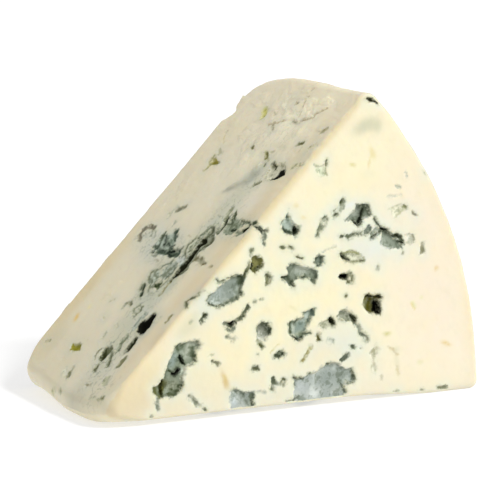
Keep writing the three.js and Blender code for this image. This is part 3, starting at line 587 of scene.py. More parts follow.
# painted shade on the shaded sides of the flakes
# painted shade, in part dark mould: the black band down the long crevice
# painted shade: black in the two holes near the tip, whose far walls lie in shadow
# painted shadow: the black crescent under the overhang in the hollow near the ridge
SLOPE_INK_AND_SHADE = """
0 6,7,2 0.2  26.1,9.5 26.6,11.3 27.8,12.7 29.3,12.5 30.2,11.5 31.9,11 32.3,10 31.9,9.2 30.4,8.7 28.6,7.9 \
  26.6,8.1
0 6,7,2 1.2  26.5,9.6 27,11 28,12.2 29,12 29.8,11 30.4,10.6 31.8,10.6 32,9.5 30.6,9 28.6,8.2 27,8.4
0 30,35,16 0.5  20.9,9.4 22,10.3 23.6,10.1 25.4,10.2 25.5,9.1 23.6,8.2 21.9,8.3
0 44,48,20 0.4  16.7,15.4 17.6,17 19,17.9 20.2,18.2 19.4,16.8 18.9,15.6
0.5 84,88,60 0.3  19.6,16.2 20.4,17.6
0.6 72,74,42 0.2  14.7,15.4 15.6,15.6
0.4 92,96,70 0.2  17.2,12.2 18.6,13.2
0.5 110,116,90 0.2  22.2,13.4 23.6,13.4
0.5 120,118,86 0.1  18.2,7.6 19,7.8
0.5 112,112,74 0.1  9,3.8 9.3,3.4
0.4 112,112,80 0.1  10.9,23.6 11.8,24
0.4 138,128,90 0.1  32.2,3.3 32.9,3
0.45 100,106,80 0.2  30.3,17.2 31.2,16.6 32.3,17.2
0.3 128,132,106 0.2  30.5,18.6 31.6,19.4 32.5,18.6
0.45 108,108,80 0.2  32.5,23.6 32.1,22.4
0.7 36,44,26 0.3  35,21.3 36.2,22.4 37.5,23.5
0.45 62,70,48 0.2  36.2,23.8 37,24.3 37.8,23.8
0.5 84,91,68 0.2  37.6,20.8 39.2,21.8 39.4,23.6 40.8,24.6 41.7,24.1
0.35 116,121,98 0.2  40.5,21 40.6,22.8 42,23.4 42.8,22
0.35 112,118,96 0.2  39.8,18.3 41.8,18.4 43.6,18.8
0.35 112,118,94 0.2  36.4,19.6 36.8,20.8 38,20.4
0.9 42,52,26 0.3  38.4,19 38.8,18
0.3 150,152,128 0.1  36.3,18.2 36.5,17
0 22,23,8 0.8  40.9,14.6 41.8,15.1 43.4,15.4 45.4,15.4 47,15.3 48.8,15.3 50,15.6 51.6,15.7 53.2,15.6 \
  53.8,14.8 53.2,13.9 52.4,13.3 51.6,13.8 50.8,14.6 49.2,14.3 47.8,13.8 46.4,13.8 45,13.6 43.6,14.1 \
  42.2,14.4
0.5 66,70,48 0.4  42.8,14 43.6,12.8 45,12.2
0.6 72,74,52 0.4  51.2,13.2 52.6,11.4 54,12.2
0.7 66,62,40 0.5  49,14.4 50.8,14.6
0.6 86,90,68 0.4  53.4,14.9 54.9,14.4 56.2,14.9
0.5 80,80,58 0.4  54.3,13.6 54.9,12.9
0.8 98,90,58 0.2  47.1,7.6 47.4,7.1
0.35 118,114,86 0.2  48.2,12.2 48.3,9.6
0.5 150,140,106 0.1  47.2,4.2 47.3,3.4
0.35 104,110,96 0.2  47.2,15.4 47.4,16.8 47.9,18
0.5 88,94,72 0.3  47.8,17.2 48.8,18.6 50.2,19.3 51.6,18.9 52.8,18.5 52.8,17.5
0.35 122,126,104 0.2  49.4,16.4 50.6,16.8 52,16.2 53.4,16.6
0.3 176,170,140 0.1  52.5,21.2 52.6,22.6
0.45 150,146,124 0.1  44.2,25.8 44.5,27.2
1.1 12,22,16 0.4  47.4,25.4 47.6,24.4 47.8,23.2
0.5 62,74,60 0.3  47.3,21.4 47.6,20
0.6 40,53,42 0.3  47.4,25.2 47,26.8 46.6,28.2
0.5 44,56,44 0.2  47.4,28.6 47.1,30.2 47.8,31.8
0.45 46,59,46 0.2  48.3,25.6 48.9,27.2 48.6,28.8
0.5 52,62,48 0.2  45.7,31.5 46.1,30.6
0.6 20,28,22 0.4  48.1,28.6 49.1,29.5 50.4,30.7
0.35 92,106,90 0.2  49.4,26 50.2,27.6
0.6 50,64,52 0.3  50.4,26.2 51.4,27.8 52.6,28.3
0.35 84,98,82 0.2  51,26.4 51.8,26.8
0.5 58,68,50 0.2  49.5,31.8 50.6,32.6
0.5 118,112,94 0.2  48.3,41 49.2,42.4 50.2,42.7
0.6 108,102,86 0.2  51.4,41 51.9,39.6 51.5,38.8
0.8 26,32,20 0.5  56.2,11.4 57.6,11.4 59.3,12.4
0.8 34,43,29 0.3  57.1,7.4 57.4,6.1
0.3 124,132,110 0.2  56.2,9.6 56.6,7.6
0.5 62,70,48 0.2  58.3,10.6 58.6,9 59.6,10.5
0.35 84,92,70 0.2  58.2,6.4 58.6,7.6 58.2,8.8
0.3 116,124,102 0.2  58.8,7.8 59.4,5.8
0.45 70,78,56 0.2  59.8,9.6 60.6,10.6 61.4,11.1
0.8 14,18,8 0.4  58,2.4 58.8,1.9 59.9,2.3
0.45 70,78,58 0.2  60,6.4 60,4.8 60.2,3.2
0.3 122,128,106 0.2  56.9,3.9 57.2,2.8
0.6 56,66,46 0.2  60.4,1.6 60.4,0.4 60,-0.9
0.5 92,94,68 0.2  36.1,0.3 37.2,2.2 38.2,1.4 39,0.4 40.4,-0.1
0.3 130,132,106 0.2  60.2,13.1 61.6,13.2 62.3,14
0 6,7,2 0.5  71.9,9.2 71.8,7 72.6,5.3 73.7,4.4 74.7,4.9 75.5,7 74.9,8.3 73.8,7.7 73,8.2 72.4,9.2
0.8 44,42,8 0.3  74.8,10.6 75.4,11 76,12.4
0.3 134,130,96 0.2  76.3,9.4 76.5,8 75.6,6.6
0.3 142,138,108 0.2  72,10.6 72.8,11.8 74,12
0.5 98,94,48 0.2  74.8,15.3 75.4,15.7
0.5 98,94,44 0.2  76.8,16.6 77.3,17.2
0.5 98,94,44 0.2  77.8,17.6 78.2,18.6
0.3 160,156,124 0.1  78.6,17 78.9,16
0.5 108,108,82 0.2  69.5,12.6 70,12
0.5 78,78,40 0.2  82.6,8.4 82.8,7.4
0.3 182,176,146 0.1  80.6,6.2 82,6.6
0.5 140,134,100 0.1  87.2,3.8 87.6,3.4
0.4 100,98,60 0.2  78.4,26 78.7,26.6
0.3 142,136,108 0.1  84.4,24 85,24.8
0.4 166,160,130 0.1  88.6,27.8 88.9,28.8
0.45 112,110,88 0.2  58.2,35 58.8,34
0.45 104,102,80 0.2  59.1,34.2 59.5,33.3
0.3 192,182,144 0.1  77.8,39.2 79,40.6 80.4,41.8
0.45 118,114,14 0.2  16.8,31.2 17.3,29.6
0.45 120,112,40 0.2  72,36.6 72.2,35
0.4 130,122,60 0.2  87.1,32 87.4,32.3
# in the plume
0.55 36,48,38 0.2  46.1,31.6 47.4,30.8 48.3,31.1
0.6 24,36,28 0.2  47.3,26.8 46.8,28.8 47.4,30
0.8 22,34,26 0.3  46.9,24.6 46.6,23 47.3,21.6
0.5 46,58,46 0.2  48.4,22.2 48.6,20.9 49.4,20.6
0.45 40,54,42 0.2  49.7,33 50.9,31.4 50.4,29.8
0.5 48,62,50 0.2  52.8,29.4 51.7,28 51.5,26.4
0.5 30,42,34 0.2  49.2,28 48.7,26.4 49.2,24.8
0.4 118,126,112 0.2  44.9,30.2 45.3,28.4
# between the crevice and the strokes left of it
0.4 98,106,84 0.2  36.8,20.7 38,19.9 39.2,20.3
0.35 108,116,96 0.2  40.6,20.2 42,19.6 43.4,20.4
0.4 92,99,80 0.2  41.4,17.3 42.8,16.7 44.2,17
0.3 112,116,94 0.2  38.8,16.5 40.2,15.9 41.8,16.3
0.4 96,106,90 0.2  43.4,22.4 44.4,21.2 45.4,20.2
0.3 108,116,100 0.2  44.2,18.4 45.2,17.5
0.35 84,90,70 0.2  49,16.9 50.2,16.4 51.4,17
0.4 100,107,86 0.2  53.6,17.4 54.8,16.6 56.2,16.4
# the dark sides of flakes
0.3 170,155,124 0.2  88.5,14.8 89.6,11.6 90.9,11.8 91.9,10.5 93,9.2
0.3 184,170,138 0.2  85.4,27.2 86.4,24.6 87.4,22.4
0.4 146,138,110 0.2  87.7,18.4 87.7,16.8
0.25 184,172,142 0.1  89.2,17.2 90.6,17.7
0.25 184,172,142 0.1  92,19.3 93.6,19.8
0.25 184,172,142 0.1  94.9,21.6 94.9,20.2
0.25 188,174,142 0.1  95.9,21.8 97.4,20.9
0.25 184,170,138 0.1  80.7,42.4 81.2,41.6
0.3 196,186,158 0.1  76.4,28.4 78.4,27.8
"""
# Soft spots of the slope's paste, written like the tints; three of them are painted shade.
# painted shade: the grey of the shallow fold along the long flake
SLOPE_SPOTS_AND_SHADE = """
92 18 22 44 0 220,211,186 0.8
66 28 26 20 0 216,210,185 0.6
50 16 100 9 0 201,200,178 0.7
46 17 34 9 0 170,175,160 0.85
38 21 12 7 10 166,172,156 0.7
50 36 9 10 0 196,198,184 0.6
22 14 26 8 4 173,175,154 0.7
48 28 26 12 90 186,191,180 0.7
40 22 12 8 0 171,173,154 0.6
58 7 14 8 90 173,178,154 0.7
66 14 18 10 0 190,191,171 0.6
8 8 20 22 0 193,190,171 0.8
12 30 24 20 0 200,193,168 0.7
50 4.4 100 7 0 206,190,153 0.65
50 -0.2 110 2.4 0 198,185,143 0.8
30 46 44 7 0 206,188,143 0.7
68.1 19.4 9 2.4 -56 168,169,154 1
72 16.8 6.8 4.6 -10 162,165,148 1
66.8 21 4 1.6 -60 160,162,148 0.9
79 2.5 10 6 0 196,190,164 0.6
91 13 20 16 0 230,222,194 0.8
78 21 14 8 0 224,218,192 0.6
66 9 12 8 0 216,210,188 0.7
28 9 9 5 0 168,166,147 0.9
40.5 14 7 5 0 163,170,151 0.85
27 19.5 12 6 0 188,186,162 0.7
4 14 12 10 0 172,170,154 0.85
88 20 14 8 0 236,227,200 0.8
56 15.5 9 3 0 186,186,166 0.5
3 0.5 14 5 0 188,184,164 0.8
40 0.5 10 4 0 190,180,154 0.8
27 1 8 4 0 196,182,150 0.7
16 42 14 8 0 192,182,150 0.7
4 28 8 12 0 206,196,168 0.7
52 9 7 4 0 196,190,164 0.7
24.4 39.8 2.6 1.7 40 212,178,96 1
28 38.2 1.8 1 60 216,206,146 0.9
"""
# Flakes that stand up from the slope, and grooves where the height is negative: width, height, points.
SLOPE_FLAKES = """
0 0.2  85.4,27.4 86.5,24.6 87.6,22.2 88.4,18.8 87.8,16.4 88.6,15 89.6,11.8 90.9,11.7 92,10.4 93.2,9 \
  95.6,9.4 96.2,12.4 94.6,15.2 95,18.2 93.2,19.4 91.9,19 90.2,18.2 89.4,20.4 88.9,22.4 88.2,25.4 86.6,28
0 -0.12  92.4,28 93.1,27.6 93.7,26.3 94.3,22.3 94.3,20.6 91.9,19.2 90,18.4 88.9,22.1 90.5,25.6
0 0.12  88.6,28.4 90.4,26.2 92,28.4 93.6,28 94.2,30 92.4,33 89.8,32
0 0.14  95.8,22 97.4,20.9 99.2,20.4 99.6,23.6 97.8,25.8 95.6,25
0 0.12  82.4,19.8 84.2,18.2 86.8,17.8 86,20 83.8,21.4
0 0.12  83.6,13.2 85,12 86.6,12.4 86.2,14.2 84.4,14.6
0 0.12  76.4,28.8 79.4,27.8 82.8,28.6 82,30.6 78.4,30.8
0 0.2  65,23.4 67.4,20 70.6,17.2 73.4,16.6 75.6,17.6 73.2,18.8 69.9,20.2 66.8,22.6
0 0.1  79,33 82.4,31.6 85,32.6 84,35.4 80.6,36
0 0.12  88.8,38.4 91,36.8 93.8,38 93,41 90,42
0 0.1  72.6,25 74.8,24 77,25.4 75.4,27.2
0 0.1  61,40.6 63.4,39 66,40.4 64.2,43
0 0.1  29.6,34.6 31.6,32.6 34.2,33.4 36.8,33.2 36.4,35.6 33,36.6
0 0.1  53.6,42.2 56.4,41 58.8,42.6 56.6,44.6
0.3 -0.12  90.6,34 91.6,34.9 93.2,35.9
0.35 -0.15  86.4,39.4 87,38.4
0.3 -0.12  80.7,42.4 81.6,41.2 82.4,40.8
"""
# Where fine squiggles of mould run through the paste: place, length, width, turn, strength.
SLOPE_MURK = """
49 15.5 32 9 0 1
38.5 21 14 8 10 0.9
47.8 28 22 8 90 0.9
50 41 7 6 0 0.7
58 6 15 6 90 0.9
61 12 8 7 0 0.7
20 14.5 20 8 8 0.9
31.4 18 8 7 0 0.7
27 12.5 10 5 0 0.6
71 14 10 8 0 0.4
84 22 20 22 0 0.25
12 8 12 10 0 0.5
"""

# ---- The paste of each face, and its tinge around mould ----
FRONT_PASTE, SLOPE_PASTE, FOOT_PASTE = (254, 246, 214), (212, 204, 178), (250, 241, 210)
RIND, RIND_TAN, RIND_GREY = (244, 230, 198), (236, 216, 174), (226, 224, 214)
HALO, SLOPE_HALO = (236, 241, 224), (190, 192, 174)
FOOT_MURK = "40 24 60 30 0 0.5"
FOOT_STAIN = "50 0 150 4 0 222,218,196 0.8"
RIM_STAIN = "40 0.2 170 5 0 214,210,188 0.9"


# ==== Numbers on grids ====
def fade(value, low, high):
    """0 below low, 1 above high, and smooth between them."""
    t = np.clip((value - low) / (high - low), 0, 1)
    return t * t * (3 - 2 * t)


def lattice(i, j, k, seed):
    """A fixed random number from -1 to 1 for each whole-numbered point."""
    h = (i * 374761393 + j * 668265263 + k * 2147483647 + seed * 974711) & 0xFFFFFFFF
    h = ((h ^ (h >> 13)) * 1274126177) & 0xFFFFFFFF
    h = ((h ^ (h >> 15)) * 2246822519) & 0xFFFFFFFF
    return ((h ^ (h >> 16)) & 0xFFFF) / 32767.5 - 1


def noise(x, y, z, seed):
    """Smooth noise of wavelength about 2, from -1 to 1."""
    cells = [np.floor(c).astype(np.int64) for c in np.broadcast_arrays(x, y, z)]
    shares = [c - cell for c, cell in zip((x, y, z), cells)]
    sx, sy, sz = [s * s * (3 - 2 * s) for s in shares]
    total = 0
    for di in (0, 1):
        for dj in (0, 1):
            for dk in (0, 1):
                weight = (sx if di else 1 - sx) * (sy if dj else 1 - sy) * (sz if dk else 1 - sz)
                total = total + weight * lattice(cells[0] + di, cells[1] + dj, cells[2] + dk, seed)
    return total


def linear(colour, light=FRONT_LIGHT):
    """An sRGB colour, 0 to 255, as linear light, with the lamp's share taken out."""
    c = np.asarray(colour, float) / 255
    c = np.where(c <= 0.04045, c / 12.92, ((c + 0.055) / 1.055) ** 2.4)
    return np.clip(c / light, 0, 0.98)


# ==== The sheets ====
def rows(table):
    """The words of each row of a table. A row that starts with # says what follows."""
    return [row.split() for row in table.strip().splitlines() if not row.startswith("#")]


def numbers(words):
    """Words such as 3,4 or 120,130,90 as rows of numbers."""
    return np.array([word.split(",") for word in words], float)


def outlines(table):
    """A table of mould or ink as points, width, colour and depth."""
    for width, colour, depth, *points in rows(table):
        yield numbers(points), float(width), numbers([colour])[0], float(depth)


def inside_distance(u, v, points, width):
    """How far each place lies inside a closed outline, or inside a line of that width."""
    closed = width == 0
    nearest = np.full(u.shape, np.inf)
    inside = np.zeros(u.shape, bool)
    count = len(points)
    for index in range(count if closed else count - 1):
        a, b = points[index], points[(index + 1) % count]
        along = b - a
        share = ((u - a[0]) * along[0] + (v - a[1]) * along[1]) / max(along @ along, 1e-9)
        share = np.clip(share, 0, 1)
        nearest = np.minimum(nearest, np.hypot(u - a[0] - share * along[0], v - a[1] - share * along[1]))
        if closed and a[1] != b[1]:
            crossing = a[0] + along[0] * (v - a[1]) / along[1]
            inside ^= ((a[1] > v) != (b[1] > v)) & (u < crossing)
    if closed:
        return np.where(inside, nearest, -nearest)
    return width / 2 - nearest


class Sheet:
    """A flat map of one face, in millimetres along and across it."""

    def __init__(self, high, paste, seed, light=FRONT_LIGHT):
        self.light = light
        self.low = np.array([-SHEET_MARGIN, -SHEET_MARGIN])
        self.counts = [int(math.ceil((h + 2 * SHEET_MARGIN) / SHEET_STEP)) for h in high]
        along, across = [low + SHEET_STEP * np.arange(n) for low, n in zip(self.low, self.counts)]
        u, v = np.meshgrid(along, across, indexing="ij")
        self.plain_u, self.plain_v = u, v
        bend = [BEND[0] * noise(u / BEND[1], v / BEND[1], 0.5, seed + k) for k in (1, 2)]
        curl = [CURL[0] * noise(u / CURL[1], v / CURL[1], 0.5, seed + k) for k in (3, 4)]
        self.u = u + bend[0] + curl[0]
        self.v = v + bend[1] + curl[1]
        self.grit = GRIT[0] * noise(u / GRIT[1], v / GRIT[1], 0.5, seed + 5)
        shape = u.shape
        self.mould = np.full(shape, -REACH)
        self.ink = np.full(shape, -REACH)
        self.sunk = np.zeros(shape)
        self.mould_colour = np.tile(linear(BLUE_GREY, light), shape + (1,))
        self.ink_colour = np.tile(linear(INK, light), shape + (1,))
        self.murk = np.zeros(shape)
        self.lift = np.zeros(shape)
        self.paste = np.tile(linear(paste, light), shape + (1,))

    def window(self, points, margin):
        """The part of the map that lies within a margin of the points."""
        first = np.floor((points.min(0) - margin - self.low) / SHEET_STEP).astype(int)
        last = np.ceil((points.max(0) + margin - self.low) / SHEET_STEP).astype(int)
        first, last = np.clip(first, 0, self.counts), np.clip(last, 0, self.counts)
        return slice(first[0], last[0]), slice(first[1], last[1])

    def stamp(self, marks, layer):
        """Puts marks on the mould or the ink layer, and sinks them."""
        field = getattr(self, layer)
        colours = getattr(self, layer + "_colour")
        for points, width, colour, depth in marks:
            window = self.window(points, REACH)
            distance = inside_distance(self.u[window], self.v[window], points, width) + self.grit[window]
            if distance.size == 0:
                continue
            deepest = max(distance.max(), 0.1)
            wall = min(0.3 + 0.22 * depth, 0.85 * deepest)
            self.sunk[window] = np.maximum(self.sunk[window], depth * fade(distance, -0.08, wall))
            over = distance > field[window]
            field[window] = np.where(over, distance, field[window])
            colours[window][over] = linear(colour, self.light)

    def soft_spot(self, along, across, length, width, turn):
        """1 in the middle of an ellipse and fading to 0 around it."""
        angle = math.radians(turn)
        du, dv = self.u - along, self.v - across
        a = (du * math.cos(angle) + dv * math.sin(angle)) / (length / 2)
        b = (dv * math.cos(angle) - du * math.sin(angle)) / (width / 2)
        return np.exp(-1.1 * (a * a + b * b) ** 1.3)

    def tint(self, layer, table):
        """Lays soft spots of colour on the mould's colours or on the paste."""
        for *place, colour, strength in rows(table):
            share = float(strength) * self.soft_spot(*map(float, place))[..., None]
            layer += (linear(numbers([colour])[0], self.light) - layer) * share

    def muddle(self, table):
        """Says where fine squiggles run through the paste."""
        for *place, strength in rows(table):
            self.murk = np.maximum(self.murk, float(strength) * self.soft_spot(*map(float, place)))

    def flake(self, table):
        """Raises thin flakes, or cuts grooves where the height is negative."""
        for width, height, *points in rows(table):
            points = numbers(points)
            window = self.window(points, REACH)
            distance = inside_distance(self.u[window], self.v[window], points, float(width))
            self.lift[window] += float(height) * fade(distance + 1.5 * self.grit[window], -0.1, 0.3)

    def halo(self, colour, strength):
        """The bluish tinge of the paste around mould."""
        dark = fade(self.ink_colour.mean(-1), 0.4, 0.2) * fade(self.ink, -3.0, -0.2)
        share = strength * np.maximum(fade(self.mould, -2.6, 0.2), dark)[..., None]
        self.paste += (linear(colour, self.light) - self.paste) * share

    def read(self, values, along, across):
        """Values of a map at places on the sheet, mixed from the four nearest."""
        i = np.clip((along - self.low[0]) / SHEET_STEP, 0, self.counts[0] - 1.001)
        j = np.clip((across - self.low[1]) / SHEET_STEP, 0, self.counts[1] - 1.001)
        i0, j0 = i.astype(int), j.astype(int)
        si, sj = i - i0, j - j0
        if values.ndim == 3:
            si, sj = si[..., None], sj[..., None]
        left = values[i0, j0] * (1 - sj) + values[i0, j0 + 1] * sj
        right = values[i0 + 1, j0] * (1 - sj) + values[i0 + 1, j0 + 1] * sj
        return left * (1 - si) + right * si


def scattered_marks(rng, low, high, count, scale=1.0):
    """Irregular mould patches and short dark veins for a hidden face, in loose clusters and rows."""
    patches, veins = [], []
    tints = [BLUE_GREY, GREY_GREEN, SLATE, GREY_OLIVE, PALE_BLUE]
    low, high = np.array(low), np.array(high)
    centres = low + (high - low) * rng.random((max(count // MARKS_A_CLUSTER, 2), 2))
    turns = rng.uniform(0, math.pi, len(centres))
    for index in range(count):
        cluster = index % len(centres)
        place = low + (high - low) * rng.random(2)
        if rng.random() < CLUSTERED:
            out, aside = rng.normal(0, 1, 2) * (ROW_LENGTH, ROW_WIDTH)
            row = np.array([math.cos(turns[cluster]), math.sin(turns[cluster])])
            place = centres[cluster] + out * row + aside * np.array([-row[1], row[0]])
        size = scale * (SMALLEST_MARK + MARK_GROWTH * rng.random() ** 2.2)
        size = size * (1 if place[0] < RIMWARD else RIMWARD_SIZE)
        stretch = rng.uniform(1.0, 2.4)
        turn = rng.uniform(0, math.pi)
        angles = np.sort(rng.uniform(0, 2 * math.pi, MARK_CORNERS))
        radii = size * rng.uniform(0.45, 1.0, MARK_CORNERS)
        ring = np.stack([radii * np.cos(angles) * stretch, radii * np.sin(angles)], 1)
        spin = np.array([[math.cos(turn), math.sin(turn)], [-math.sin(turn), math.cos(turn)]])
        ring = np.round(ring @ spin + place, 2)
        tint = tints[rng.integers(len(tints))]
        start = rng.integers(MARK_CORNERS)
        edge = ring[(start + np.arange(rng.integers(2, 5))) % MARK_CORNERS]
        width = rng.uniform(0.35, 0.8)
        if (place > low).all() and (place < high).all():
            patches.append((ring, 0, tint, 0.3 + 0.4 * size))
            veins.append((edge, width, INK, 0.4 + 0.5 * size))
    return patches, veins


def clouds(sheet, size, slice_at, seed, fades, most):
    """Soft clouds over a sheet, from 0 to most."""
    cloud = noise(sheet.plain_u / size, sheet.plain_v / size, slice_at, seed)
    return (most * fade(cloud, *fades))[..., None]


def make_sheets():
    """The sheets of the front, the slope, the foot, the rim and the back."""
    front = Sheet(SHEET_SIZE["front"], FRONT_PASTE, 10)
    front.stamp(outlines(FRONT_MOULD), "mould")
    front.tint(front.mould_colour, FRONT_TINTS_AND_SHADING)
    front.stamp(outlines(FRONT_INK_AND_SHADE), "ink")
    front.tint(front.paste, FRONT_SPOTS_AND_HIGHLIGHT)
    front.halo(HALO, 0.5)

    slope = Sheet(SHEET_SIZE["slope"], SLOPE_PASTE, 20, SLOPE_LIGHT)
    slope.stamp(outlines(SLOPE_MOULD_AND_HIGHLIGHTS), "mould")
    slope.stamp(outlines(SLOPE_INK_AND_SHADE), "ink")
    slope.flake(SLOPE_FLAKES)
    slope.tint(slope.paste, SLOPE_SPOTS_AND_SHADE)
    slope.halo(SLOPE_HALO, 0.4)
    slope.muddle(SLOPE_MURK)

    foot = Sheet(SHEET_SIZE["foot"], FOOT_PASTE, 30)
    patches, veins = scattered_marks(np.random.default_rng(7), (30, 4), (94, 46), 46)
    foot.stamp(patches, "mould")
    foot.stamp(veins, "ink")
    foot.halo(HALO, 0.5)
    foot.muddle(FOOT_MURK)
    foot.tint(foot.paste, FOOT_STAIN)

    rim = Sheet(SHEET_SIZE["rim"], RIND, 40)
    back = Sheet(SHEET_SIZE["back"], RIND, 50)
    rim.tint(rim.paste, RIM_STAIN)
    for sheet, seed, high, count, scale in (
        (rim, 41, (76, 46), 42, 0.6),
        (back, 51, (96, 68), 115, 0.95),
    ):
        patches, veins = scattered_marks(np.random.default_rng(seed), (7, 3), high, count, scale)
        sheet.stamp(patches, "mould")
        sheet.stamp(veins, "ink")
        sheet.halo(HALO, 0.4)
        tan = clouds(sheet, 7, 0.5, seed, (-0.1, 0.8), 0.6)
        sheet.paste += (linear(RIND_TAN) - sheet.paste) * tan
        grey = clouds(sheet, 3, 2.5, seed + 1, (0.1, 0.8), 0.5)
        sheet.paste += (linear(RIND_GREY) - sheet.paste) * grey
    return [front, slope, foot, rim, back]


# ==== The wedge's field ====
def rounded_max(a, b, reach_a, reach_b=None):
    """The larger of two distances, with the edge between them rounded off over the two reaches."""
    reach_b = reach_a if reach_b is None else reach_b
    inside_a, inside_b = a / reach_a + 1, b / reach_b + 1
    rounded = (np.hypot(inside_a, inside_b) - 1) * np.minimum(reach_a, reach_b)
    return np.where((inside_a <= 0) | (inside_b <= 0), np.maximum(a, b), rounded)


def rounded_corner(a, b, radius, cosine):
    """The larger of two planes' distances, with the edge between them rounded to a true arc."""
    from_a, from_b = a + radius, b + radius
    square = from_a**2 + from_b**2 - 2 * from_a * from_b * cosine
    arc = np.sqrt(np.maximum(square, 0) / (1 - cosine * cosine)) - radius
    sharp = (from_a <= from_b * cosine) | (from_b <= from_a * cosine)
    return np.where(sharp, np.maximum(a, b), arc)


def sway(a, b, phase):
    """The slow unevenness of a cut or a skin."""
    long = np.sin(0.093 * a + 0.061 * b + phase) * np.sin(0.081 * b - 0.052 * a + 1.7 * phase)
    short = np.sin(0.27 * a - 0.21 * b + 2.3 * phase) * np.sin(0.24 * b + 0.15 * a + phase)
    return UNEVENNESS * (0.7 * long + 0.3 * short)


def face_distances(x, y, z):
    """Distances outside the front, the slope, the foot, the rim and the back."""
    reach = np.hypot(x, z)
    up = x * COS + z * SIN
    near_tip = 1 - fade(reach, TIP_NEAR, TIP_FAR)
    front_lift = FOOT_LIFT * (1 - fade(y, 0, FOOT_LIFT_DEPTH)) * (1 - fade(x, *FOOT_LIFT_FADES))
    toe_lift = TOE_LIFT * (1 - fade(reach, *TOE_LIFT_FADES)) * fade(y, *TOE_LIFT_DEPTHS)
    foot = front_lift + toe_lift - z
    slope = z * COS - x * SIN + sway(up, y, 0.6)
    rim = reach - WHEEL_RADIUS + sway(WHEEL_RADIUS * np.arctan2(z, x), y, 2.1)
    front = -y + sway(x, z, 4.4)
    taper = TIP_TAPER * (1 - fade(reach, 0, TIP_TAPER_REACH)) + TIP_PINCH * near_tip
    back = y - THICKNESS + taper + sway(x, z, 3.2)
    return front, slope, foot, rim, back


def wedge_field(x, z, distances):
    """Below 0 inside the cheese before anything is cut into it, and above 0 outside it."""
    front, slope, foot, rim, back = distances
    reach = np.hypot(x, z)
    near_tip = 1 - fade(reach, TIP_NEAR, TIP_FAR)
    cuts = rounded_corner(foot, slope, TIP_ROUNDING, -COS)
    skin = rounded_max(rim, back, RIM_SHOULDER_RADIAL, RIM_SHOULDER_AXIAL)
    upper = fade(z, *RIM_ROUNDING_HEIGHTS)
    rim_rounding = LOWER_RIM_ROUNDING + (UPPER_RIM_ROUNDING - LOWER_RIM_ROUNDING) * upper
    back_rounding = BACK_ROUNDING + BACK_TIP_ROUNDING * near_tip
    to_rim = fade(reach, *BACK_TO_RIM)
    skin_rounding = back_rounding + (rim_rounding - back_rounding) * to_rim
    sides = rounded_max(cuts, skin, skin_rounding)
    return rounded_max(sides, front, FRONT_ROUNDING + FRONT_TIP_ROUNDING * near_tip)


def places_on_faces(x, y, z):
    """Where a point lies on each face's sheet, along and across."""
    up = x * COS + z * SIN
    around = WHEEL_RADIUS * np.arctan2(z, x)
    return (x, z), (up, y), (x, y), (around, y), (x, z)


def nick_field(x, y, z, above_slope):
    """Above 0 inside the uneven nick in the back edge."""
    along, across, half_along, half_across, half_deep = NICK
    lump = 0.5 * np.sin(1.3 * z + 0.9 * y)
    ball = ((x * COS + z * SIN - along) / half_along) ** 2 + ((y - across + lump) / half_across) ** 2
    ball = ball + (above_slope / half_deep) ** 2
    if abs(x - along * COS) < NICK_NEAR:
        size = NICK_LUMP_SIZE
        ball = ball * (1 + NICK_LUMPS * noise(x / size, y / size, z / size, 61))
    return (1 - np.sqrt(ball)) * NICK_DEPTH


def cheese_grid(sheets):
    """The cheese's distance field on a grid, a slice at a time, cut off away from the surface."""
    low = np.full(3, GRID_LOW)
    counts = [int(n / GRID_STEP) for n in GRID_SIZE]
    xs, ys, zs = [low[k] + GRID_STEP * np.arange(counts[k]) for k in range(3)]
    y, z = [a.astype(np.float32) for a in np.meshgrid(ys, zs, indexing="ij")]
    steep = []
    for sheet in sheets:
        along, across = np.gradient(sheet.sunk, SHEET_STEP)
        steep.append(1 / np.sqrt(1 + along**2 + across**2))
    limit = 3 * GRID_STEP
    field = np.full(counts, limit, np.float32)
    for index, x in enumerate(xs):
        distances = face_distances(np.float32(x), y, z)
        value = wedge_field(np.float32(x), z, distances)
        places = places_on_faces(x, y, z)
        for sheet, slant, distance, (along, across) in zip(sheets, steep, distances, places):
            near = (distance > -DEEPEST_MARK) & (value < 1)
            if not near.any():
                continue
            along = np.broadcast_to(along, y.shape)[near]
            across = np.broadcast_to(across, y.shape)[near]
            sunk = sheet.read(sheet.sunk, along, across)
            carved = (sunk + distance[near]) * sheet.read(slant, along, across)
            cut = np.where(sunk > 0.02, carved, -limit)
            value[near] = np.maximum(value[near], cut)
        value = np.maximum(value, nick_field(x, y, z, distances[1]))
        field[index] = np.clip(value, -limit, limit)
    return field, low


def skin_of(field, low):
    """The closed surface where the field is 0: points in millimetres, and four-cornered faces."""
    grid = openvdb.FloatGrid(float(field.max()))
    grid.copyFromArray(np.ascontiguousarray(field))
    grid.transform = openvdb.createLinearTransform(voxelSize=GRID_STEP)
    points, quads = grid.convertToQuads(0)
    return points + low, quads


def drop_crumbs(mesh):
    """Removes folded fins, two faces on the same corners, and all but the largest connected part."""
    solid = bmesh.new()
    solid.from_mesh(mesh)
    by_corners = {}
    for face in solid.faces:
        by_corners.setdefault(frozenset(vertex.index for vertex in face.verts), []).append(face)
    fins = [face for faces in by_corners.values() if len(faces) > 1 for face in faces]
    bmesh.ops.delete(solid, geom=fins, context="FACES")
    unseen, parts = set(solid.verts), []
    while unseen:
        part, waiting = [], [unseen.pop()]
        while waiting:
            vertex = waiting.pop()
            part.append(vertex)
            for line in vertex.link_edges:
                other = line.other_vert(vertex)
                if other in unseen:
                    unseen.remove(other)
                    waiting.append(other)
        parts.append(part)
    parts.sort(key=len)
    for part in parts[:-1]:
        bmesh.ops.delete(solid, geom=part, context="VERTS")
    solid.to_mesh(mesh)
    solid.free()


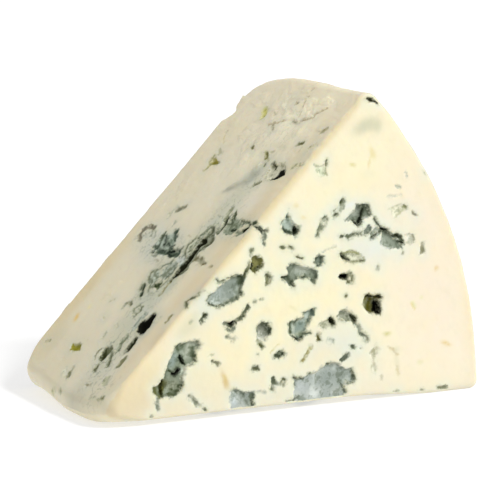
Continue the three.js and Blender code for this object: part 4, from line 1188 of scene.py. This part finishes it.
def thinned(points, quads, keep_fine):
    """The surface with fewer triangles, where keep_fine is near 1 the last to go."""
    mesh = bpy.data.meshes.new("fine")
    mesh.vertices.add(len(points))
    mesh.vertices.foreach_set("co", points.astype(np.float32).ravel())
    mesh.loops.add(quads.size)
    mesh.loops.foreach_set("vertex_index", quads.astype(np.int32).ravel())
    mesh.polygons.add(len(quads))
    mesh.polygons.foreach_set("loop_start", np.arange(0, quads.size, 4, dtype=np.int32))
    mesh.update(calc_edges=True)
    mesh.validate()
    triangles = 2 * len(quads)
    piece = bpy.data.objects.new("fine", mesh)
    bpy.context.scene.collection.objects.link(piece)
    if triangles > MOST_TRIANGLES:
        group = piece.vertex_groups.new(name="thin")
        level = np.round((1 - keep_fine) * THIN_LEVELS).astype(int)
        for step in range(THIN_LEVELS + 1):
            chosen = np.nonzero(level == step)[0]
            if len(chosen):
                group.add(chosen.tolist(), max(step / THIN_LEVELS, 0.02), "REPLACE")
        thin = piece.modifiers.new("thin", "DECIMATE")
        thin.decimate_type = "COLLAPSE"
        thin.ratio = MOST_TRIANGLES / triangles
        thin.vertex_group = "thin"
        thin.vertex_group_factor = 1.0
    ready = piece.evaluated_get(bpy.context.evaluated_depsgraph_get())
    result = bpy.data.meshes.new_from_object(ready)
    bpy.data.objects.remove(piece)
    bpy.data.meshes.remove(mesh)
    drop_crumbs(result)
    return result


def face_shares(distances, sunks):
    """Shares that add up to 1. A point in a sunk mark belongs to the mark's face."""
    shares = [np.clip(1 + (d + s) / FACE_BLEND, 0, 1) for d, s in zip(distances, sunks)]
    total = np.maximum(sum(shares), 1e-6)
    nearest = np.argmax(np.stack([d + s for d, s in zip(distances, sunks)]), 0)
    lone = total < 0.05
    return [np.where(lone, nearest == k, share / total) for k, share in enumerate(shares)]


def reads(sheets, name, points, shares):
    """A map's values at points, from the sheets of the faces that own them."""
    places = places_on_faces(*points.T)
    total = 0
    for sheet, share, (along, across) in zip(sheets, shares, places):
        values = sheet.read(getattr(sheet, name), along, across)
        total = total + (share[:, None] if values.ndim == 2 else share) * values
    return total


def shares_at(sheets, points):
    """How much each face owns of each point."""
    distances = face_distances(*points.T)
    places = places_on_faces(*points.T)
    sunks = [sheet.read(sheet.sunk, *place) for sheet, place in zip(sheets, places)]
    return face_shares(distances, sunks)


def lumps(x, y, z, height, size, seed):
    return height * noise(x / size, y / size, z / size, seed)


def relief(points, shares, flakes_lift):
    """Fine unevenness of each face and the slope's flakes, in millimetres along the normal."""
    x, y, z = points.T
    up = x * COS + z * SIN
    front = lumps(x, z, y, *FRONT_LUMPS, 3) + lumps(x, z, y, *FRONT_CRUMB, 4)
    drag = noise(up / 5, y / 0.7, z * 0, 5)
    crumb = noise(up / 0.9, y / 0.9, z / 0.9, 6)
    flakes = 0.15 + 0.3 * fade(up, 56, 82) * (1 - 0.4 * fade(y, 30, 44))
    bent_up, bent_y = up + 0.8 * crumb, y + 0.8 * noise(up / 1.7, y / 1.7, 3.5, 15)
    tears = np.abs(noise(bent_up / 2.2, bent_y / 4.2, 0.5, 8))
    ledges = fade(noise(bent_up / 3.4, bent_y / 2.6, 7.5, 16), 0.12, 0.26)
    slope = SLOPE_DRAG * drag + SLOPE_CRUMB * crumb + SLOPE_SWELL * noise(up / 6, y / 5, 2.5, 7)
    slope = slope - SLOPE_TEARS * flakes * (1 - fade(tears, 0.0, 0.16))
    slope = slope + SLOPE_LEDGES * flakes * ledges + flakes_lift
    foot = lumps(x, y, z * 0, *FOOT_LUMPS, 9)
    skin = lumps(x, y, z, *SKIN_LUMPS, 11) + lumps(x, y, z, *SKIN_CRUMB, 12)
    skin = skin + lumps(x, y, z, *SKIN_SWELL, 14)
    return sum(share * part for share, part in zip(shares, (front, slope, foot, skin, skin)))


def set_values(mesh, name, kind, values):
    """Keeps a number or a colour for each point, for the material."""
    layer = mesh.attributes.new(name, kind, "POINT")
    if kind == "FLOAT_COLOR":
        values = np.concatenate([values, np.ones((len(values), 1))], 1)
        layer.data.foreach_set("color", values.astype(np.float32).ravel())
    else:
        layer.data.foreach_set("value", values.astype(np.float32))


def add_bake_map(mesh, points):
    """Flat islands for the five faces, so that a bake finds each place once."""
    count = len(mesh.polygons)
    normals = np.empty(count * 3, np.float32)
    centres = np.empty(count * 3, np.float32)
    mesh.polygons.foreach_get("normal", normals)
    mesh.polygons.foreach_get("center", centres)
    normals, centres = normals.reshape(-1, 3), centres.reshape(-1, 3) / MM + MIDDLE
    radial = centres[:, [0, 2]] / np.linalg.norm(centres[:, [0, 2]], axis=1)[:, None]
    facing = np.stack([
        -normals[:, 1],
        normals[:, 2] * COS - normals[:, 0] * SIN,
        -normals[:, 2],
        (normals[:, [0, 2]] * radial).sum(1),
        normals[:, 1],
    ])
    distances = np.stack(face_distances(*centres.T))
    face = np.argmax(facing + 0.2 * np.clip(distances, -6, 1), 0)
    totals = np.empty(count, np.int32)
    mesh.polygons.foreach_get("loop_total", totals)
    corners = np.empty(len(mesh.loops), np.int32)
    mesh.loops.foreach_get("vertex_index", corners)
    owner = np.repeat(face, totals)
    places = np.stack([np.stack(np.broadcast_arrays(*p), 1) for p in places_on_faces(*points[corners].T)])
    chosen = places[owner, np.arange(len(corners))]
    uv = (chosen + BAKE_CORNERS[owner] + BAKE_MARGIN) / BAKE_SPAN
    layer = mesh.uv_layers.new(name="OFBake")
    layer.data.foreach_set("uv", uv.astype(np.float32).ravel())


def make_cheese(material):
    """The cheese as one piece: carved, thinned, given its fine relief, and coloured."""
    sheets = make_sheets()
    field, low = cheese_grid(sheets)
    points, quads = skin_of(field, low)
    shares = shares_at(sheets, points)
    marks = np.maximum(reads(sheets, "mould", points, shares), reads(sheets, "ink", points, shares))
    marks = np.maximum(marks, np.abs(reads(sheets, "lift", points, shares)) * 8 - 0.8)
    shown = shares[0] + shares[1]
    # Marks keep the most triangles, those on the two faces that show before all others.
    keep_fine = fade(marks, -0.7, 0.1) * (0.35 + 0.65 * shown) * 0.75 + 0.2 * shown
    mesh = thinned(points, quads, np.clip(keep_fine, 0, 1))
    mesh.name = "blue_cheese"

    points = np.empty(len(mesh.vertices) * 3, np.float32)
    mesh.vertices.foreach_get("co", points)
    points = points.reshape(-1, 3).astype(float)
    normals = np.empty(len(mesh.vertices) * 3, np.float32)
    mesh.vertex_normals.foreach_get("vector", normals)
    shares = shares_at(sheets, points)
    raised = relief(points, shares, reads(sheets, "lift", points, shares))
    moved = points + normals.reshape(-1, 3) * raised[:, None]
    moved[:, 2] = np.maximum(moved[:, 2], 0)
    mesh.vertices.foreach_set("co", ((moved - MIDDLE) * MM).astype(np.float32).ravel())
    mesh.update()
    for name in ("paste", "mould_colour", "ink_colour"):
        set_values(mesh, name, "FLOAT_COLOR", reads(sheets, name, points, shares))
    for name in ("mould", "ink", "sunk", "murk"):
        set_values(mesh, name, "FLOAT", reads(sheets, name, points, shares))
    set_values(mesh, "rind", "FLOAT", shares[3] + shares[4])
    set_values(mesh, "slope", "FLOAT", shares[1])
    add_bake_map(mesh, moved)
    mesh.shade_smooth()
    mesh.materials.clear()
    mesh.materials.append(material)
    piece = bpy.data.objects.new("blue_cheese", mesh)
    bpy.context.scene.collection.objects.link(piece)
    return piece


# ==== The material ====
class Graph:
    """Short names for the nodes that the material uses."""

    def __init__(self, material):
        material.use_nodes = True
        self.tree = material.node_tree
        self.shader = self.tree.nodes["Principled BSDF"]
        self.place = self.tree.nodes.new("ShaderNodeTexCoord").outputs["Object"]

    def wire(self, socket, value):
        """Joins a node's output, or sets a plain value."""
        if isinstance(value, bpy.types.NodeSocket):
            self.tree.links.new(value, socket)
        elif socket.type == "RGBA":
            socket.default_value = (*value, 1)
        else:
            socket.default_value = value

    def stored(self, name, output="Fac"):
        """A number, or a colour, that the mesh keeps for each point."""
        node = self.tree.nodes.new("ShaderNodeAttribute")
        node.attribute_name = name
        return node.outputs[output]

    def math(self, operation, a, b=0.0):
        node = self.tree.nodes.new("ShaderNodeMath")
        node.operation = operation
        self.wire(node.inputs[0], a)
        self.wire(node.inputs[1], b)
        return node.outputs[0]

    def plus(self, a, b):
        return self.math("ADD", a, b)

    def minus(self, a, b):
        return self.math("SUBTRACT", a, b)

    def times(self, a, b):
        return self.math("MULTIPLY", a, b)

    def swing(self, noise, size):
        """Noise moved to lie around 0, this far to both sides together."""
        return self.times(self.minus(noise, 0.5), size)

    def brightness(self, colour):
        node = self.tree.nodes.new("ShaderNodeRGBToBW")
        self.wire(node.inputs[0], colour)
        return node.outputs[0]

    def fade(self, value, low, high):
        """0 below low and 1 above high, or the other way round where low is the larger one."""
        node = self.tree.nodes.new("ShaderNodeMapRange")
        node.interpolation_type = "SMOOTHSTEP"
        self.wire(node.inputs["Value"], value)
        node.inputs["From Min"].default_value = low
        node.inputs["From Max"].default_value = high
        return node.outputs["Result"]

    def noise(self, size, detail=2.0, rough=0.5, stretch=None):
        """Noise whose lumps are about this many millimetres across, from 0 to 1."""
        node = self.tree.nodes.new("ShaderNodeTexNoise")
        place = self.place
        if stretch is not None:
            mapping = self.tree.nodes.new("ShaderNodeMapping")
            self.tree.links.new(place, mapping.inputs["Vector"])
            mapping.inputs["Rotation"].default_value = (0, WEDGE_ANGLE, 0)
            mapping.inputs["Scale"].default_value = stretch
            place = mapping.outputs["Vector"]
        self.tree.links.new(place, node.inputs["Vector"])
        node.inputs["Scale"].default_value = 0.5 / (size * MM)
        node.inputs["Detail"].default_value = detail
        node.inputs["Roughness"].default_value = rough
        return node.outputs["Fac"]

    def mix(self, share, a, b, blend="MIX"):
        """Colour a with a share of colour b laid over it."""
        node = self.tree.nodes.new("ShaderNodeMix")
        node.data_type = "RGBA"
        node.blend_type = blend
        self.wire(node.inputs[0], share)
        self.wire(node.inputs[6], a)
        self.wire(node.inputs[7], b)
        return node.outputs[2]


def cheese_material():
    """Paste, mould with a painted highlight, squiggles, and veins with painted shade in pores and cracks,
    by what the mesh keeps, with grain and a soft glow.
    """
    material = bpy.data.materials.new("blue cheese")
    g = Graph(material)
    fine = g.noise(0.26, 2.0, 0.6)
    small = g.noise(0.7, 2.0, 0.55)
    middle = g.noise(1.5, 2.0, 0.55)
    broad = g.noise(6.0, 2.0, 0.5)

    # Paste: a little yellower and paler in clouds, with fine grain.
    paste = g.stored("paste", "Color")
    paste = g.mix(g.times(g.fade(broad, 0.4, 0.75), 0.35), paste, linear(PASTE_CREAM))
    paste = g.mix(g.times(g.fade(middle, 0.5, 0.8), 0.14), paste, linear(PASTE_GREY))

    # Mould: its outline made ragged, its inside mottled and given pale lumps of painted highlight, and its
    # edge dark in places.
    ragged = g.plus(g.swing(small, 1.6), g.swing(fine, 0.8))
    inside = g.plus(g.stored("mould"), ragged)
    blur = g.plus(0.24, g.times(g.fade(middle, 0.36, 0.64), 0.6))
    cover = g.fade(g.math("DIVIDE", g.minus(inside, 0.05), blur), -1, 1)
    tone = g.stored("mould_colour", "Color")
    # Painted highlight: pale lumps added over the mould's colour.
    mould = g.mix(g.times(g.fade(middle, 0.48, 0.64), 0.9), tone, MOULD_PAINTED_HIGHLIGHT, "ADD")
    mould = g.mix(g.times(g.fade(small, 0.50, 0.64), 0.65), mould, MOULD_SHADE, "MULTIPLY")
    mould = g.mix(g.times(g.fade(fine, 0.54, 0.70), 0.4), mould, MOULD_GRAIN, "MULTIPLY")
    edge = g.fade(g.math("ABSOLUTE", g.minus(inside, 0.2)), 0.5, 0.12)
    edge = g.times(edge, g.fade(middle, 0.44, 0.58))
    edge = g.times(edge, g.fade(g.brightness(tone), 0.46, 0.30))
    mould = g.mix(g.times(edge, 0.4), mould, MOULD_EDGE, "MULTIPLY")
    colour = g.mix(g.times(cover, 0.97), paste, mould)

    # Fine squiggles: where a broader noise crosses its middle.
    squiggle = g.fade(g.math("ABSOLUTE", g.minus(g.noise(1.0, 2.0, 0.5), 0.5)), 0.045, 0.012)
    squiggle = g.times(squiggle, g.fade(small, 0.40, 0.54))
    murk = g.stored("murk")
    dirty = g.times(murk, g.fade(middle, 0.35, 0.65))
    colour = g.mix(g.times(dirty, 0.45), colour, MURK_SHADE, "MULTIPLY")
    squiggle = g.times(g.times(squiggle, murk), 0.75)
    colour = g.mix(squiggle, colour, SQUIGGLE_SHADE, "MULTIPLY")

    # Veins, and the dark of pores, which is in part painted shade.
    wobble = g.plus(g.swing(small, 1.0), g.swing(fine, 0.8))
    near_ink = g.plus(g.stored("ink"), wobble)
    ink = g.stored("ink_colour", "Color")
    brightness = g.brightness(ink)
    shade = g.times(g.fade(near_ink, -1.0, 0.1), g.fade(brightness, 0.34, 0.08))
    colour = g.mix(g.times(shade, 0.45), colour, PORE_SHADE, "MULTIPLY")
    spread = g.plus(0.3, g.times(g.fade(middle, 0.60, 0.38), 0.3))
    inked = g.fade(g.math("DIVIDE", near_ink, spread), -1, 1)
    lift = g.times(g.fade(small, 0.48, 0.66), g.fade(brightness, 0.003, 0.03))
    ink = g.mix(g.times(lift, 0.4), ink, INK_BLOOM, "ADD")
    colour = g.mix(g.times(inked, 0.99), colour, ink)

    g.wire(g.shader.inputs["Base Color"], colour)
    marked = g.math("MAXIMUM", cover, inked)
    rough = g.plus(0.46, g.times(marked, 0.34))
    rough = g.plus(rough, g.swing(middle, 0.2))
    g.wire(g.shader.inputs["Roughness"], rough)
    g.wire(g.shader.inputs["Specular IOR Level"], g.minus(0.3, g.times(marked, 0.27)))
    soft = g.minus(0.5, g.times(marked, 0.47))
    g.wire(g.shader.inputs["Subsurface Weight"], soft)
    g.shader.inputs["Subsurface Radius"].default_value = GLOW_REACH
    g.shader.inputs["Subsurface Scale"].default_value = GLOW_SCALE

    # Grain: fine crumb, rougher on the slope and in the mould, and drag marks of the knife.
    drag = g.noise(0.8, 3.0, 0.6, stretch=(0.16, 1.0, 1.0))
    grain = g.plus(g.times(fine, 0.5), g.times(small, 0.5))
    grain = g.plus(grain, g.times(g.times(drag, g.stored("slope")), 0.8))
    amount = g.plus(g.times(marked, 0.5), g.times(g.stored("slope"), 0.08))
    bump = g.tree.nodes.new("ShaderNodeBump")
    bump.inputs["Distance"].default_value = 0.35 * MM
    g.wire(bump.inputs["Strength"], g.plus(0.10, amount))
    g.wire(bump.inputs["Height"], grain)
    g.wire(g.shader.inputs["Normal"], bump.outputs["Normal"])
    return material


# ==== Light, floor and camera ====
def floor_material():
    """Pale, and lit a little from below as a light table is, which keeps the shadows soft."""
    material = bpy.data.materials.new("floor")
    material.use_nodes = True
    shader = material.node_tree.nodes["Principled BSDF"]
    shader.inputs["Base Color"].default_value = (FLOOR_GREY, FLOOR_GREY, FLOOR_GREY, 1)
    shader.inputs["Roughness"].default_value = 0.9
    shader.inputs["Emission Color"].default_value = (1, 1, 1, 1)
    shader.inputs["Emission Strength"].default_value = FLOOR_GLOW
    return material


def make_floor():
    half = FLOOR_HALF
    corners = [(-half, -half, 0), (half, -half, 0), (half, half, 0), (-half, half, 0)]
    mesh = bpy.data.meshes.new("floor")
    mesh.from_pydata(corners, [], [(0, 1, 2, 3)])
    mesh.materials.append(floor_material())
    floor = bpy.data.objects.new("floor", mesh)
    bpy.context.scene.collection.objects.link(floor)


def make_light():
    world = bpy.data.worlds.new("studio")
    world.use_nodes = True
    world.node_tree.nodes["Background"].inputs["Color"].default_value = (1, 1, 1, 1)
    world.node_tree.nodes["Background"].inputs["Strength"].default_value = SKY_LIGHT
    bpy.context.scene.world = world
    lamp = bpy.data.lights.new("key", "SUN")
    lamp.energy = KEY_LIGHT * math.pi
    lamp.angle = math.radians(KEY_SPREAD)
    key = bpy.data.objects.new("key", lamp)
    key.rotation_euler = Vector(KEY_TOWARD).to_track_quat("Z", "Y").to_euler()
    bpy.context.scene.collection.objects.link(key)


def make_camera():
    lens = bpy.data.cameras.new("camera")
    lens.lens = CAMERA_LENS
    lens.sensor_width = CAMERA_SENSOR
    camera = bpy.data.objects.new("camera", lens)
    place, aim = Vector(CAMERA_PLACE), Vector(CAMERA_AIM)
    camera.location = place
    camera.rotation_euler = (aim - place).to_track_quat("-Z", "Y").to_euler()
    bpy.context.scene.collection.objects.link(camera)
    bpy.context.scene.camera = camera


make_camera()
make_light()
make_floor()
bpy.context.scene.view_settings.view_transform = "Standard"

cheese = make_cheese(cheese_material())
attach(cheese, "root")
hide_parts("cheese_wedge")
